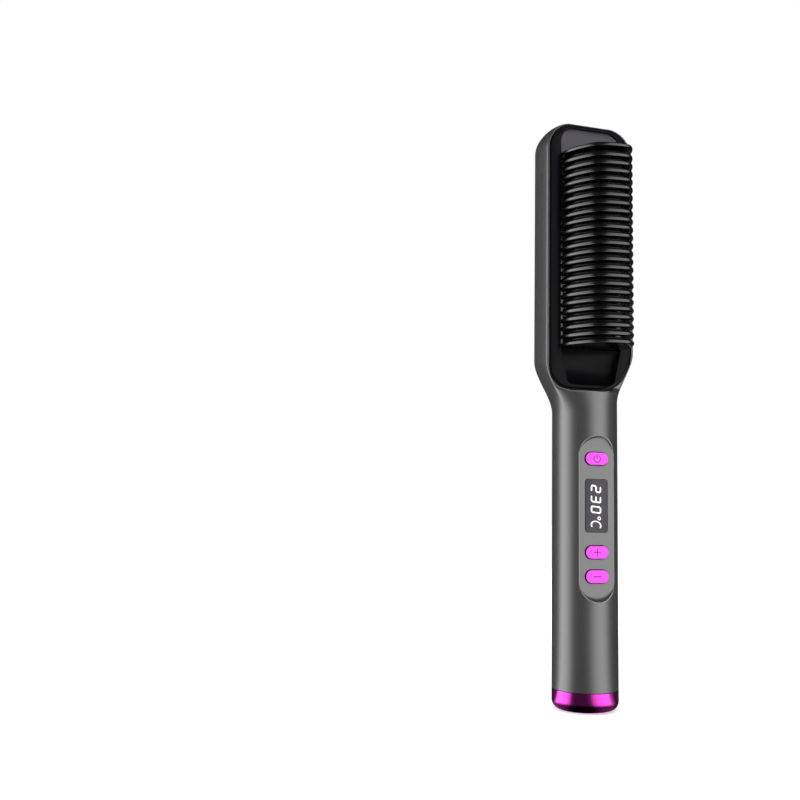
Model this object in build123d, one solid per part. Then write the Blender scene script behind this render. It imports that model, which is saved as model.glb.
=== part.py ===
from build123d import *
import os
from math import asin, atan, cos, degrees, pi, radians, sin, sqrt

# A mains-heated straightening comb. It stands along +Z with the comb and the buttons facing -Y.
# The origin is the centre of the end cap's flat underside. Millimetres throughout.

# ---- casing ----
overall_length = 275.0
handle_half_width = 15.4
handle_half_depth = 13.8
handle_length = 132.0  # up to where the round handle starts to spread
wall = 2.0
cap_height = 9.2
head_half_width = 23.4  # at the head's widest line, on the centre plane
front_rim_half_width = head_half_width - 1.0
rear_rim_half_width = head_half_width - 0.6
front_rim_depth = 6.6
rear_rim_depth = 7.3
head_corner_radius = 14.0

# ---- neck, where the round handle spreads into the flat head ----
# Each shoulder is (start above the handle, length) of its spread. The -X shoulder is the lower one.
front_shoulders = ((1.5, 23.5), (8.0, 25.0))
rear_shoulders = ((2.5, 25.0), (6.0, 24.0))
neck_steps = (0.0, 1.0, 3.0, 5.5, 7.5, 8.8, 9.7, 10.3, 10.9, 11.5, 12.1, 12.7, 13.4, 14.5, 16.0, 18.0,
              21.0, 24.5, 28.5, 31.0, 32.3)
neck_end = handle_length + 33.2
front_drop_length = 3.2
rear_drop_length = 3.6
inner_drop_lift = -1.5
edge_points = 6

# ---- front pocket with the black comb insert ----
pocket_half_width = front_rim_half_width - 0.9
pocket_bottom = handle_length + 13.4
pocket_top = overall_length - 1.0
pocket_top_radius = 13.0
pocket_left_radius = 11.0
pocket_right_radius = 20.0
insert_gap = 0.45
bezel_thickness = 1.8
ledge_thickness = 1.5
drop_above_rim = 0.5

# ---- comb ----
comb_half_width = head_half_width - 7.6
comb_crest_depth = 27.2
rib_pitch = 3.8
rib_thickness = 2.1
end_plate_thickness = 1.7
top_rib_height = overall_length - 22.0
lowest_rib_height = handle_length + 37.0  # the ribs stop above this
rail_width = 3.0
rail_clearance = 0.15
flange_width = 3.0
flange_lip = 2.2
flange_clearance = 0.3
rib_inner_scale = 0.8
fin_thickness = 1.0
fin_clearance = 0.2

# ---- bezel details ----
ramp_top = pocket_top - 2.1
ramp_low_recess = 0.9
ramp_rise = 0.8
scoop_depth = 5.2
scoop_bottom = pocket_bottom + 2.8
scoop_wall = 1.2
scoop_top_half_width = comb_half_width - 0.3
scoop_bottom_half_width = comb_half_width - 3.9
scoop_corner_radius = 3.0

# ---- heater stack, behind the comb ----
base_thickness = 2.0
base_half_width = comb_half_width + 2.7
ceramic_thickness = 1.8
ceramic_half_width = 7.0
ceramic_gap = 2.0
sheet_thickness = 0.3
sheet_half_width = 8.6
clamp_thickness = 0.8
clamp_half_width = 12.0
stack_margin = 3.0
shield_thickness = 0.3
shield_half_width = 16.0
shield_standoff = 0.6
clamp_screw_x = 10.5
comb_screw_x = comb_half_width + 1.6
pilot_floor = 0.5
post_bite = 0.5  # how far a post reaches into the wall that carries it

# ---- rear pocket with trim and panel ----
rear_pocket_depth = 2.3
rear_floor_thickness = 1.5
trim_gap = 0.3
trim_half_width = rear_rim_half_width - 1.1
trim_inner_half_width = trim_half_width - 4.0
trim_top = overall_length - 1.8
trim_line_height = handle_length + 16.7  # where the slanted lower edge crosses the centre line
trim_slope = 0.33
trim_corner_radius = 11.0
trim_top_radius = 12.6
trim_sink = 0.2
trim_fall = 1.7
panel_gap = 0.2
panel_proud = 0.1
rim_land = 2.4
rim_slope = 0.28
rim_bow = 0.004

# ---- control recess ----
recess_half_width = handle_half_width - 6.2
recess_top = handle_length - 8.1
recess_bottom = recess_top - 75.4
recess_floor_depth = handle_half_depth - 2.5
recess_plate = 1.7
recess_end_slope = 40.0
recess_overcut = 1.0
pad_margin = 1.5

# ---- buttons and switches ----
button_length = 11.3
button_height = 5.7
button_heights = {"power": recess_top - 10.7, "plus": recess_top - 53.0, "minus": recess_top - 63.8}
button_proud = 0.8
button_travel = 0.5
button_clearance = 0.3
button_flange = 0.7
button_flange_gap = 0.2
button_flange_thickness = 0.7
button_edge = 0.4
symbol_depth = 0.15
symbol_stroke = 0.5
symbol_size = 3.8
switch_gap = 0.3  # between a fully pressed button and its switch
switch_width = 6.0
switch_height = 3.6
switch_floor = 0.3
plunger_radius = 1.1
plunger_clearance = 0.1
plunger_engagement = 0.4

# ---- display ----
window_width = 11.5
window_height = 24.3
window_centre = recess_top - 32.05
window_corner = 1.6
window_thickness = 1.0
window_clearance = 0.06
window_ledge = 0.8
module_half_width = 5.0
module_half_height = 11.2
module_gap = 0.1
digit_height = 5.2
digit_width = 3.5
digit_stroke = 0.8
digit_offset = -0.25
segment_depth = 0.12
segment_proud = 0.03
glyph_centres = {"2": 7.6, "3": 3.0, "0": -1.8, "ring": -5.5, "C": -8.6}
degree_radius = 0.9

# ---- boards ----
control_board_depth = recess_floor_depth - recess_plate - 3.4
board_thickness = 1.2
control_board_half_width = 0.71 * (handle_half_width - wall)
control_board_bottom = recess_bottom - 1.5
control_board_top = recess_top + 3.1
control_post_x = control_board_half_width - 2.1
control_post_heights = (control_board_bottom + 3.6, control_board_top - 3.6)
power_board_front = 1.5
power_board_half_width = handle_half_width - wall - 2.8
power_board_bottom = 22.0
power_board_top = 100.0
power_post_x = power_board_half_width - 2.0
power_post_heights = (power_board_bottom + 4.0, power_board_top - 4.0)
post_radius = 1.8
pilot_radius = 0.75
screw_radius = 0.75
screw_clearance = 0.25
screw_head_radius = 1.5
screw_head_height = 1.0
screw_end_gap = 0.2

# ---- housing screws, as (distance from the centre line, height) ----
housing_screw_places = ((head_half_width - 5.9, overall_length - 10.0),
                        (head_half_width - 5.2, handle_length + 28.0))
housing_post_radius = 1.75
housing_head_sink = 1.0

# ---- end cap and cord gland ----
cap_edge_radius = 4.2
cap_floor = 3.0
spigot_height = 6.0
spigot_clearance = 0.1
spigot_wall = 1.5
cord_bore_radius = 2.9
gland_neck_radius = 5.0
gland_running_clearance = 0.05
gland_recess = 0.4
gland_flange_radius = 7.6
gland_flange_thickness = 1.5
gland_tube_radius = 4.6
gland_top = 13.0
gland_axial_gap = 0.1
retainer_radius = 8.2
retainer_thickness = 1.5
retainer_clearance = 0.08

# ---- leads ----
lead_gap = 0.3
lead_clearance = 0.1
lead_bend = 0.45
heater_lead_radius = 0.8
heater_lead_x = 1.6
heater_lead_board_x = 5.2
heater_lead_depth = 1.5
sensor_lead_radius = 0.45
sensor_lead_spacing = 1.4
sensor_lead_x = control_post_x - 2.9
sensor_x = 13.8

# ---- depths that follow from the sizes above ----
bezel_back = -front_rim_depth + bezel_thickness
ledge_back = bezel_back + ledge_thickness
base_back = ledge_back + base_thickness
ceramic_back = base_back + ceramic_thickness
sheet_back = ceramic_back + sheet_thickness
clamp_back = sheet_back + clamp_thickness
rear_floor = rear_rim_depth - rear_pocket_depth
rear_inner = rear_floor - rear_floor_thickness
shield_back = rear_inner - shield_standoff
recess_back = -recess_floor_depth + recess_plate
button_face = -recess_floor_depth - button_proud
flange_front = recess_back + button_flange_gap
flange_back = flange_front + button_flange_thickness
switch_front = flange_back + button_travel + switch_gap
control_board_back = -control_board_depth + board_thickness
power_board_back = power_board_front + board_thickness

# ---- heights that follow from the sizes above ----
rib_count = int((top_rib_height - lowest_rib_height) / rib_pitch) + 1
rib_heights = [top_rib_height - rib_pitch * i for i in range(rib_count)]
fin_heights = [top_rib_height + rib_pitch / 2 - rib_pitch * i for i in range(rib_count + 1)]
comb_low = rib_heights[-1] - rib_pitch - end_plate_thickness / 2
comb_high = top_rib_height + rib_pitch + end_plate_thickness
heater_low = comb_low + end_plate_thickness
heater_high = comb_high - end_plate_thickness
heater_mid = (heater_low + heater_high) / 2
comb_screw_heights = (heater_low + 14.0, heater_mid, heater_high - 14.0)
clamp_screw_heights = (heater_low + 7.0, heater_mid, heater_high - 7.0)
shield_post_x = shield_half_width - 2.5
shield_post_heights = (heater_low + 5.0, heater_high - 5.0)
sensor_low = heater_low + 3.0


# ---------------------------------------------------------------- helpers
def front_plane(y):
    """A plane facing -Y at depth y, with its own axes along +X and +Z."""
    return Plane(origin=(0, y, 0), x_dir=(1, 0, 0), z_dir=(0, -1, 0))


def slab(sketch, y_low, y_high):
    """A drawing in X and Z given thickness from y_low to y_high."""
    return extrude(front_plane(y_high) * sketch, amount=y_high - y_low)


def block(x_low, x_high, y_low, y_high, z_low, z_high):
    centre = ((x_low + x_high) / 2, (y_low + y_high) / 2, (z_low + z_high) / 2)
    return Pos(*centre) * Box(x_high - x_low, y_high - y_low, z_high - z_low)


def rod_y(x, z, radius, y_low, y_high):
    return slab(Pos(x, z) * Circle(radius), y_low, y_high)


def disc(radius, z_low, z_high):
    return Pos(0, 0, (z_low + z_high) / 2) * Cylinder(radius, z_high - z_low)


def oval(half_x, half_y, z_low, z_high):
    return extrude(Pos(0, 0, z_low) * Ellipse(half_x, half_y), amount=z_high - z_low)


def ease(t):
    """Smooth step from 0 to 1."""
    t = min(1.0, max(0.0, t))
    return t * t * (3 - 2 * t)


def wire_between(*edges):
    return Wire(list(edges))


def even_spline(points):
    """A spline with evenly spaced knots, so that a loft through many of them stays smooth."""
    last = len(points) - 1
    return Edge.make_spline([Vector(*p) for p in points], parameters=[i / last for i in range(last + 1)])


def screw(x, z, y_seat, y_tip, head_side):
    """A pan-head screw along Y: its head sits on y_seat, on the side that head_side (+1 or -1) names."""
    head_end = y_seat + head_side * screw_head_height
    head = rod_y(x, z, screw_head_radius, min(y_seat, head_end), max(y_seat, head_end))
    shank = rod_y(x, z, screw_radius, min(y_seat, y_tip), max(y_seat, y_tip))
    slot_depth = screw_head_height / 2
    slot_low, slot_high = sorted((head_end, head_end - head_side * slot_depth))
    slot = block(x - screw_head_radius, x + screw_head_radius, slot_low, slot_high,
                 z - screw_radius / 3, z + screw_radius / 3)
    return head + shank - slot


def save(name, *solids):
    """Write one node: one solid, or a group of separate solids."""
    flat = []
    for item in solids:
        flat.extend(item.solids())
    shape = flat[0] if len(flat) == 1 else Compound(children=flat)
    shape.label = name
    export_step(shape, f"parts/{name}.step")


# ---------------------------------------------------------------- casing skins
class Skin:
    """A skin of the casing: inset 0 is the outside, and a larger inset is the inside."""

    def __init__(self, inset, front_depth, rear_depth, drop_lift):
        self.rx = handle_half_width - inset
        self.ry = handle_half_depth - inset
        self.front_depth = front_depth
        self.rear_depth = rear_depth
        self.front_half = front_rim_half_width - inset
        self.mid_half = head_half_width - inset
        self.rear_half = rear_rim_half_width - inset
        self.drop_lift = drop_lift
        self.corner_x = head_half_width - head_corner_radius
        self.corner_z = overall_length - head_corner_radius

    def round_x(self, y):
        return self.rx * sqrt(1 - (y / self.ry) ** 2)

    def crown(self):
        """The head's bowed side as an arc through front rim, widest line and rear rim."""
        return ThreePointArc((self.front_half, -self.front_depth), (self.mid_half, 0),
                             (self.rear_half, self.rear_depth))

    def spread(self, z, across, back):
        """How far the section has spread, 0 to 1.

        across runs from -1 at -X to 1 at +X, and back from 0 at the front rim to 1 behind it.
        """
        front_low, front_high = front_shoulders
        rear_low, rear_high = rear_shoulders
        part = (across + 1) / 2
        low = [f + (r - f) * back for f, r in zip(front_low, rear_low)]
        high = [f + (r - f) * back for f, r in zip(front_high, rear_high)]
        start, length = (a + (b - a) * part for a, b in zip(low, high))
        return ease((z - handle_length - start) / length)

    def front_bulge(self, z):
        end = pocket_bottom - drop_above_rim + self.drop_lift
        return 1 - ease((z - end + front_drop_length) / front_drop_length)

    def rear_bulge(self, z, x):
        end = trim_line_height - rim_land + rim_slope * x + rim_bow * x ** 2 + self.drop_lift
        return 1 - ease((z - end + rear_drop_length) / rear_drop_length)

    def face_edge(self, z, depth, half, side, bulge):
        """The front or rear edge of the section at height z; side is -1 for front, 1 for rear."""
        corner = self.round_x(depth)
        reach = asin(corner / self.rx)
        points = []
        for i in range(2 * edge_points + 1):
            fraction = i / edge_points - 1
            x_round = self.rx * sin(reach * fraction)
            y_round = self.ry * cos(reach * fraction)
            across = x_round / corner
            x = x_round + across * (half - corner) * self.spread(z, across, (side + 1) / 2)
            y = depth + (y_round - depth) * bulge(x)
            points.append((x, side * y, z))
        return even_spline(points)

    def side_edge(self, z, side):
        """The bowed side edge of the section at height z; side is -1 or 1."""
        crown = self.crown()
        points = []
        for i in range(edge_points + 1):
            on_arc = crown @ (i / edge_points)
            if i == 0:
                y = -self.front_depth
            elif i == edge_points:
                y = self.rear_depth
            else:
                y = on_arc.Y
            x_round = self.round_x(y)
            back = min(1.0, (y + self.front_depth) / self.front_depth)
            s = self.spread(z, side, back)
            points.append((side * (x_round + (on_arc.X - x_round) * s), y, z))
        return even_spline(points)

    def neck_wire(self, z):
        front = self.face_edge(z, self.front_depth, self.front_half, -1, lambda x: self.front_bulge(z))
        rear = self.face_edge(z, self.rear_depth, self.rear_half, 1, lambda x: self.rear_bulge(z, x))
        return wire_between(front, self.side_edge(z, 1), rear, self.side_edge(z, -1))

    def head_wire(self, z):
        """The flat head's section: two straight rims and two bowed sides."""
        f, r = self.front_half, self.rear_half
        a, b = self.front_depth, self.rear_depth
        return wire_between(Line((-f, -a, z), (f, -a, z)), self.side_edge(z, 1),
                            Line((r, b, z), (-r, b, z)), self.side_edge(z, -1))

    def head_top(self):
        """The rounded upper end: the bowed side swept round both corners and across the top."""
        cx, cz = self.corner_x, self.corner_z
        a, b = self.front_depth, self.rear_depth
        side = Face(wire_between(
            Line((cx, -a, cz), (self.front_half, -a, cz)), self.side_edge(cz, 1),
            Line((self.rear_half, b, cz), (cx, b, cz)), Line((cx, b, cz), (cx, -a, cz))))
        hinge = Axis((cx, 0, cz), (0, -1, 0))
        corner = revolve(side, axis=hinge, revolution_arc=90)
        bridge = extrude(side.rotate(hinge, 90), amount=2 * cx, dir=(-1, 0, 0))
        return corner + bridge + mirror(corner, Plane.YZ)

    def solid(self, z_start):
        neck_wires = [self.neck_wire(handle_length + step) for step in neck_steps]
        neck = Solid.make_loft(neck_wires + [self.neck_wire(neck_end)])
        handle = extrude(Face(neck_wires[0]), amount=handle_length - z_start, dir=(0, 0, -1))
        head = extrude(Face(self.head_wire(neck_end)), amount=self.corner_z - neck_end, dir=(0, 0, 1))
        return handle + neck + head + self.head_top()


def insert_outline(offset):
    """The front pocket's outline, drawn in by offset."""
    half = pocket_half_width - offset
    low, high = pocket_bottom + offset, pocket_top - offset
    corners = ((-half, low), (half, low), (half, high), (-half, high))
    radii = (pocket_left_radius - offset, pocket_right_radius - offset,
             pocket_top_radius - offset, pocket_top_radius - offset)
    return make_face(FilletPolyline(*corners, radius=radii, close=True))


def rear_outline(half, offset):
    """The rear trim's outline, drawn in by offset from the outer line whose half width is half."""
    low = trim_line_height + offset * sqrt(1 + trim_slope ** 2)
    high = trim_top - offset
    corners = ((-half, low - trim_slope * half), (half, low + trim_slope * half),
               (half, high), (-half, high))
    radii = (trim_corner_radius - offset, trim_corner_radius - offset,
             trim_top_radius - offset, trim_top_radius - offset)
    return FilletPolyline(*corners, radius=radii, close=True)


def trim_wire(offset, y):
    """The trim's outline drawn in by offset, placed at depth y."""
    return front_plane(y) * Wire(rear_outline(trim_half_width - offset, offset).edges())


# ---------------------------------------------------------------- comb profile
def comb_profile(scale_x, scale_y):
    """The comb's arched outline in X and Y: a long slope from -X and a steep one at +X."""
    points = ((-1.0, 0.0), (-0.9, 0.23), (-0.77, 0.45), (-0.57, 0.67), (-0.3, 0.86), (0.05, 0.972),
              (0.36, 1.0), (0.6, 0.965), (0.79, 0.83), (0.91, 0.6), (0.975, 0.3), (1.0, 0.0))
    rise = comb_crest_depth - front_rim_depth
    placed = [(x * comb_half_width * scale_x, -front_rim_depth - y * rise * scale_y) for x, y in points]
    return Spline(*placed)


def profile_face(curve, foot_depth):
    """Close an arched curve with straight feet down to foot_depth."""
    start, end = curve @ 0, curve @ 1
    return Face(wire_between(
        curve,
        Line((end.X, end.Y), (end.X, foot_depth)),
        Line((end.X, foot_depth), (start.X, foot_depth)),
        Line((start.X, foot_depth), (start.X, start.Y))))


def plate_at(face, z_low, thickness):
    return extrude(Pos(0, 0, z_low) * face, amount=thickness)


def comb_guard():
    """The cool outer comb: arched ribs and two end plates on a frame with two side rails."""
    arch = comb_profile(1.0, 1.0)
    outer = profile_face(arch, bezel_back)
    inner = profile_face(comb_profile(1 - rail_width / comb_half_width, rib_inner_scale), bezel_back)
    rib = outer - inner
    ribs = [plate_at(rib, z - rib_thickness / 2, rib_thickness) for z in rib_heights]
    plates = [plate_at(outer, comb_low, end_plate_thickness),
              plate_at(outer, comb_high - end_plate_thickness, end_plate_thickness)]
    inner_half = comb_half_width - rail_width
    rails = [block(low, low + rail_width, -front_rim_depth, bezel_back, comb_low, comb_high)
             for low in (-comb_half_width, inner_half)]
    flange_half = comb_half_width + flange_width
    flange = block(-flange_half, flange_half, bezel_back, ledge_back, comb_low, comb_high + flange_lip)
    window = block(-inner_half, inner_half, bezel_back, ledge_back,
                   comb_low + end_plate_thickness, comb_high - end_plate_thickness)
    body = flange - window
    for piece in rails + plates + ribs:
        body += piece
    for x in (-comb_screw_x, comb_screw_x):
        for z in comb_screw_heights:
            body -= rod_y(x, z, screw_radius + screw_clearance / 2, bezel_back, ledge_back)
    return body


def heating_plate():
    """The cast heating plate: a flat base with tall curved fins that stand between the ribs."""
    inner_half = comb_half_width - rail_width - fin_clearance
    points = ((-1.0, 0.0), (-0.985, 0.36), (-0.77, 0.55), (-0.5, 0.71), (-0.2, 0.82), (0.12, 0.865),
              (0.4, 0.87), (0.62, 0.81), (0.75, 0.66), (0.8, 0.4), (0.81, 0.0))
    rise = comb_crest_depth - front_rim_depth
    curve = Spline(*[(x * inner_half, -front_rim_depth - y * rise) for x, y in points])
    fin = profile_face(curve, ledge_back)
    base = block(-base_half_width, base_half_width, ledge_back, ledge_back + base_thickness,
                 heater_low, heater_high)
    body = base
    for z in fin_heights:
        body += plate_at(fin, z - fin_thickness / 2, fin_thickness)
    boss_end = ledge_back + base_thickness + ceramic_thickness + sheet_thickness
    for x in (-clamp_screw_x, clamp_screw_x):
        for z in clamp_screw_heights:
            body += rod_y(x, z, post_radius, ledge_back + base_thickness, boss_end)
            body -= rod_y(x, z, pilot_radius, ledge_back + pilot_floor, boss_end)
    for x in (-comb_screw_x, comb_screw_x):
        for z in comb_screw_heights:
            body -= rod_y(x, z, screw_radius + screw_clearance / 2, ledge_back, ledge_back + base_thickness)
    return body


# ---------------------------------------------------------------- bezel
def scoop_face(offset):
    """The finger scoop's outline: a trapezoid, wider towards the comb, drawn out by offset."""
    low, high = scoop_bottom - offset, comb_low - rail_clearance
    corners = ((-scoop_bottom_half_width - offset, low), (scoop_bottom_half_width + offset, low),
               (scoop_top_half_width + offset, high), (-scoop_top_half_width - offset, high))
    face = make_face(Polyline(*corners, close=True))
    lower = face.vertices().sort_by(Axis.Y)[:2]
    return fillet(lower, scoop_corner_radius + offset)


def scoop_roll(offset):
    """The hollow's rolled floor: a cylinder along X, its radius grown by offset."""
    high = comb_low - rail_clearance
    half_chord = (high - scoop_bottom) / 2
    radius = (half_chord ** 2 + scoop_depth ** 2) / (2 * scoop_depth)
    centre_y = -front_rim_depth + scoop_depth - radius
    centre_z = (high + scoop_bottom) / 2
    length = 2 * pocket_half_width
    return Pos(0, centre_y, centre_z) * Rot(0, 90, 0) * Cylinder(radius + offset, length)


def scoop_bowl(clearance):
    """The bowl behind the scoop, with room around it when clearance is above 0."""
    grown = scoop_wall + clearance
    front = bezel_back - clearance
    space = slab(scoop_face(grown), front, rear_inner)
    return space & scoop_roll(grown)


def comb_bezel():
    """The black insert around the comb: a ring, a sloped face above and a finger scoop below."""
    body = slab(insert_outline(insert_gap), -front_rim_depth, bezel_back)
    body += scoop_bowl(0)
    opening_half = comb_half_width + rail_clearance
    body -= block(-opening_half, opening_half, -front_rim_depth, rear_inner,
                  comb_low - rail_clearance, comb_high + rail_clearance)
    body -= slab(scoop_face(0), -front_rim_depth, rear_inner) & scoop_roll(0)
    ramp_low = comb_high + rail_clearance
    deep = -front_rim_depth + ramp_low_recess
    high = -front_rim_depth - ramp_rise
    hollow = slab(ramp_face(), -front_rim_depth, deep)
    body -= hollow
    wedge_side = Polyline((0, deep, ramp_low), (0, high, ramp_low), (0, deep, ramp_top), close=True)
    wedge = extrude(Face(Wire(wedge_side.edges())), amount=opening_half, dir=(1, 0, 0), both=True)
    body += wedge & slab(ramp_face(), high, deep)
    for x in (-comb_screw_x, comb_screw_x):
        for z in comb_screw_heights:
            body -= rod_y(x, z, pilot_radius, -front_rim_depth + pilot_floor, bezel_back)
    return body


def ramp_face():
    """The sloped face's outline between the ring's inner edge and the comb's upper end."""
    half = comb_half_width + rail_clearance
    low = comb_high + rail_clearance
    face = make_face(Polyline((-half, low), (half, low), (half, ramp_top), (-half, ramp_top), close=True))
    upper = face.vertices().sort_by(Axis.Y)[-2:]
    return fillet(upper, pocket_top_radius - (pocket_half_width - half))


# ---------------------------------------------------------------- housings
def casing_shell():
    outer = Skin(0, front_rim_depth, rear_rim_depth, 0).solid(cap_height)
    inner = Skin(wall, -ledge_back, rear_inner, inner_drop_lift).solid(cap_height)
    return outer - inner


def stadium(length, height):
    return SlotOverall(length, height)


def recess_cutter():
    """The control recess: a flat floor with ends that slope up to the handle's surface."""
    length = recess_top - recess_bottom
    depth = handle_half_depth - recess_floor_depth + recess_overcut
    slope = sin(radians(recess_end_slope)) / cos(radians(recess_end_slope))
    run = (depth - recess_overcut) * slope
    floor = Pos(0, (recess_top + recess_bottom) / 2) * stadium_z(length - 2 * run, recess_half_width)
    return extrude(front_plane(-recess_floor_depth) * floor, amount=depth, taper=-recess_end_slope)


def stadium_z(length, half_width):
    """A stadium that stands along Z."""
    return Rot(0, 0, 90) * SlotOverall(length, 2 * half_width)


def control_pad():
    """The thick plate under the recess, joined to the handle's front wall."""
    length = recess_top - recess_bottom + 2 * pad_margin
    centre = (recess_top + recess_bottom) / 2
    pad = slab(Pos(0, centre) * stadium_z(length, recess_half_width + pad_margin),
               -handle_half_depth, recess_back)
    limit = oval(handle_half_width - post_bite, handle_half_depth - post_bite, cap_height, handle_length)
    return pad & limit


def window_face(grow):
    return Pos(0, window_centre) * RectangleRounded(
        window_width + 2 * grow, window_height + 2 * grow, window_corner + grow)


def front_housing(shell):
    far = head_half_width * 2
    half = shell & block(-far, far, -far, 0, 0, overall_length + 1)
    half += control_pad()
    for x in (-control_post_x, control_post_x):
        for z in control_post_heights:
            half += rod_y(x, z, post_radius, recess_back - post_bite, -control_board_depth)
            half -= rod_y(x, z, pilot_radius, recess_back, -control_board_depth)
    half -= recess_cutter()
    for z in button_heights.values():
        hole = Pos(0, z) * stadium(button_length + 2 * button_clearance, button_height + 2 * button_clearance)
        half -= slab(hole, -handle_half_depth, recess_back)
    seat_back = -recess_floor_depth + window_thickness
    half -= slab(window_face(window_clearance), -handle_half_depth, seat_back)
    half -= slab(window_face(-window_ledge), seat_back, recess_back)
    half -= slab(insert_outline(0), -comb_crest_depth, bezel_back)
    frame_half = comb_half_width + flange_width + flange_clearance
    half -= block(-frame_half, frame_half, bezel_back, ledge_back,
                  comb_low - flange_clearance, comb_high + flange_lip + flange_clearance)
    half -= scoop_bowl(trim_gap)
    for x, z in housing_screw_spots():
        half += rod_y(x, z, housing_post_radius, ledge_back - post_bite, 0)
        half -= rod_y(x, z, pilot_radius, bezel_back + pilot_floor, 0)
    return half


def rear_housing(shell):
    far = head_half_width * 2
    half = shell & block(-far, far, 0, far, 0, overall_length + 1)
    half -= slab(make_face(rear_outline(trim_half_width + trim_gap, -trim_gap)), rear_floor, far)
    for x in (-power_post_x, power_post_x):
        for z in power_post_heights:
            reach = (handle_half_depth - wall / 2) * sqrt(1 - (x / (handle_half_width - wall / 2)) ** 2)
            half += rod_y(x, z, post_radius, power_board_front + board_thickness, reach)
            half -= rod_y(x, z, pilot_radius, power_board_front + board_thickness, reach - wall / 2)
    for x, z in housing_screw_spots():
        half += rod_y(x, z, housing_post_radius, 0, rear_inner + post_bite)
        half -= rod_y(x, z, screw_radius + screw_clearance / 2, 0, rear_floor)
        half -= rod_y(x, z, screw_head_radius + screw_clearance / 2, rear_floor - housing_head_sink,
                      rear_floor)
    for x in (-shield_post_x, shield_post_x):
        for z in shield_post_heights:
            half += rod_y(x, z, post_radius, shield_back, rear_inner + post_bite)
    return half


def housing_screw_spots():
    return [(side * x, z) for x, z in housing_screw_places for side in (-1, 1)]


# ---------------------------------------------------------------- end cap and gland
def end_cap():
    """The chromed end cap with its spigot and a stepped seat for the gland."""
    body = oval(handle_half_width, handle_half_depth, 0, cap_height)
    body = fillet(body.edges().group_by(Axis.Z)[0], cap_edge_radius)
    outer_x = handle_half_width - wall - spigot_clearance
    outer_y = handle_half_depth - wall - spigot_clearance
    body += oval(outer_x, outer_y, cap_height, cap_height + spigot_height)
    seat_top = cap_floor + gland_axial_gap * 2 + gland_flange_thickness + retainer_thickness
    body -= disc(gland_neck_radius + gland_running_clearance, 0, cap_floor)
    body -= disc(retainer_radius, cap_floor, seat_top)
    body -= oval(outer_x - spigot_wall, outer_y - spigot_wall, seat_top, cap_height + spigot_height)
    return body


def ring_profile(*points):
    """A turned piece: a closed profile of (radius, height) points spun about Z."""
    line = Polyline(*[(r, 0, z) for r, z in points], close=True)
    return revolve(Face(Wire(line.edges())), axis=Axis.Z, revolution_arc=360)


def cord_gland():
    """The swivelling gland: a flanged tube with an open bore for the cord."""
    flange_low = cap_floor + gland_axial_gap
    flange_high = flange_low + gland_flange_thickness
    return ring_profile(
        (cord_bore_radius, gland_recess), (gland_neck_radius, gland_recess),
        (gland_neck_radius, flange_low), (gland_flange_radius, flange_low),
        (gland_flange_radius, flange_high), (gland_tube_radius, flange_high),
        (gland_tube_radius, gland_top), (cord_bore_radius, gland_top))


def gland_retainer():
    low = cap_floor + gland_axial_gap * 2 + gland_flange_thickness
    inner = gland_tube_radius + retainer_clearance
    return ring_profile((inner, low), (retainer_radius, low),
                        (retainer_radius, low + retainer_thickness), (inner, low + retainer_thickness))


# ---------------------------------------------------------------- rear trim and panel
def rear_trim_frame():
    """The chromed frame: its face slopes inwards from the rim down to the panel."""
    top = rear_rim_depth - trim_sink
    body = slab(make_face(rear_outline(trim_half_width, 0)), rear_floor, top)
    band = trim_half_width - trim_inner_half_width
    slope_low = top - trim_fall
    body -= Solid.make_loft([trim_wire(band, slope_low), trim_wire(trim_sink, top)], True)
    body -= slab(make_face(rear_outline(trim_inner_half_width, band)), rear_floor, top)
    return body


def rear_panel():
    """The decorative panel inside the trim."""
    band = trim_half_width - trim_inner_half_width + panel_gap
    face = make_face(rear_outline(trim_half_width - band, band))
    return slab(face, rear_floor, rear_rim_depth + panel_proud)


# ---------------------------------------------------------------- controls
def power_symbol():
    """A broken ring with an upright stroke, as drawn on any power button."""
    radius = symbol_size / 2
    ring = Circle(radius) - Circle(radius - symbol_stroke)
    ring -= Pos(0, radius) * Rectangle(symbol_stroke * 3, radius)
    return ring + Pos(0, radius * 0.55) * Rectangle(symbol_stroke, radius)


def minus_symbol():
    return Rectangle(symbol_size, symbol_stroke)


def plus_symbol():
    return Rectangle(symbol_stroke, symbol_size) + Rectangle(symbol_size, symbol_stroke)


symbols = {"power": power_symbol, "plus": plus_symbol, "minus": minus_symbol}


def button(name):
    """A stadium button with a flange behind the recess plate and a sunk symbol."""
    z = button_heights[name]
    body = slab(Pos(0, z) * stadium(button_length, button_height), button_face, flange_front)
    body = fillet(body.edges().group_by(Axis.Y)[0], button_edge)
    grow = 2 * button_flange
    body += slab(Pos(0, z) * stadium(button_length + grow, button_height + grow), flange_front, flange_back)
    body -= slab(Pos(0, z) * symbols[name](), button_face, button_face + symbol_depth)
    return body


def switch_body(name):
    """A tact switch on the control board, open at the front for its plunger."""
    z = button_heights[name]
    body = block(-switch_width / 2, switch_width / 2, switch_front, -control_board_depth,
                 z - switch_height / 2, z + switch_height / 2)
    well_floor = -control_board_depth - switch_floor
    return body - rod_y(0, z, plunger_radius + plunger_clearance, switch_front, well_floor)


def switch_plunger(name):
    z = button_heights[name]
    return rod_y(0, z, plunger_radius, flange_back, switch_front + plunger_engagement)


# ---------------------------------------------------------------- display
def stroke(points):
    """A line of round-ended bars through the points."""
    shape = None
    for (x0, y0), (x1, y1) in zip(points, points[1:]):
        length = sqrt((x1 - x0) ** 2 + (y1 - y0) ** 2)
        angle = degrees(atan((y1 - y0) / (x1 - x0))) if x1 != x0 else 90.0
        bar = Pos((x0 + x1) / 2, (y0 + y1) / 2) * Rot(0, 0, angle) * SlotCenterToCenter(length, digit_stroke)
        shape = bar if shape is None else shape + bar
    return shape


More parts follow.
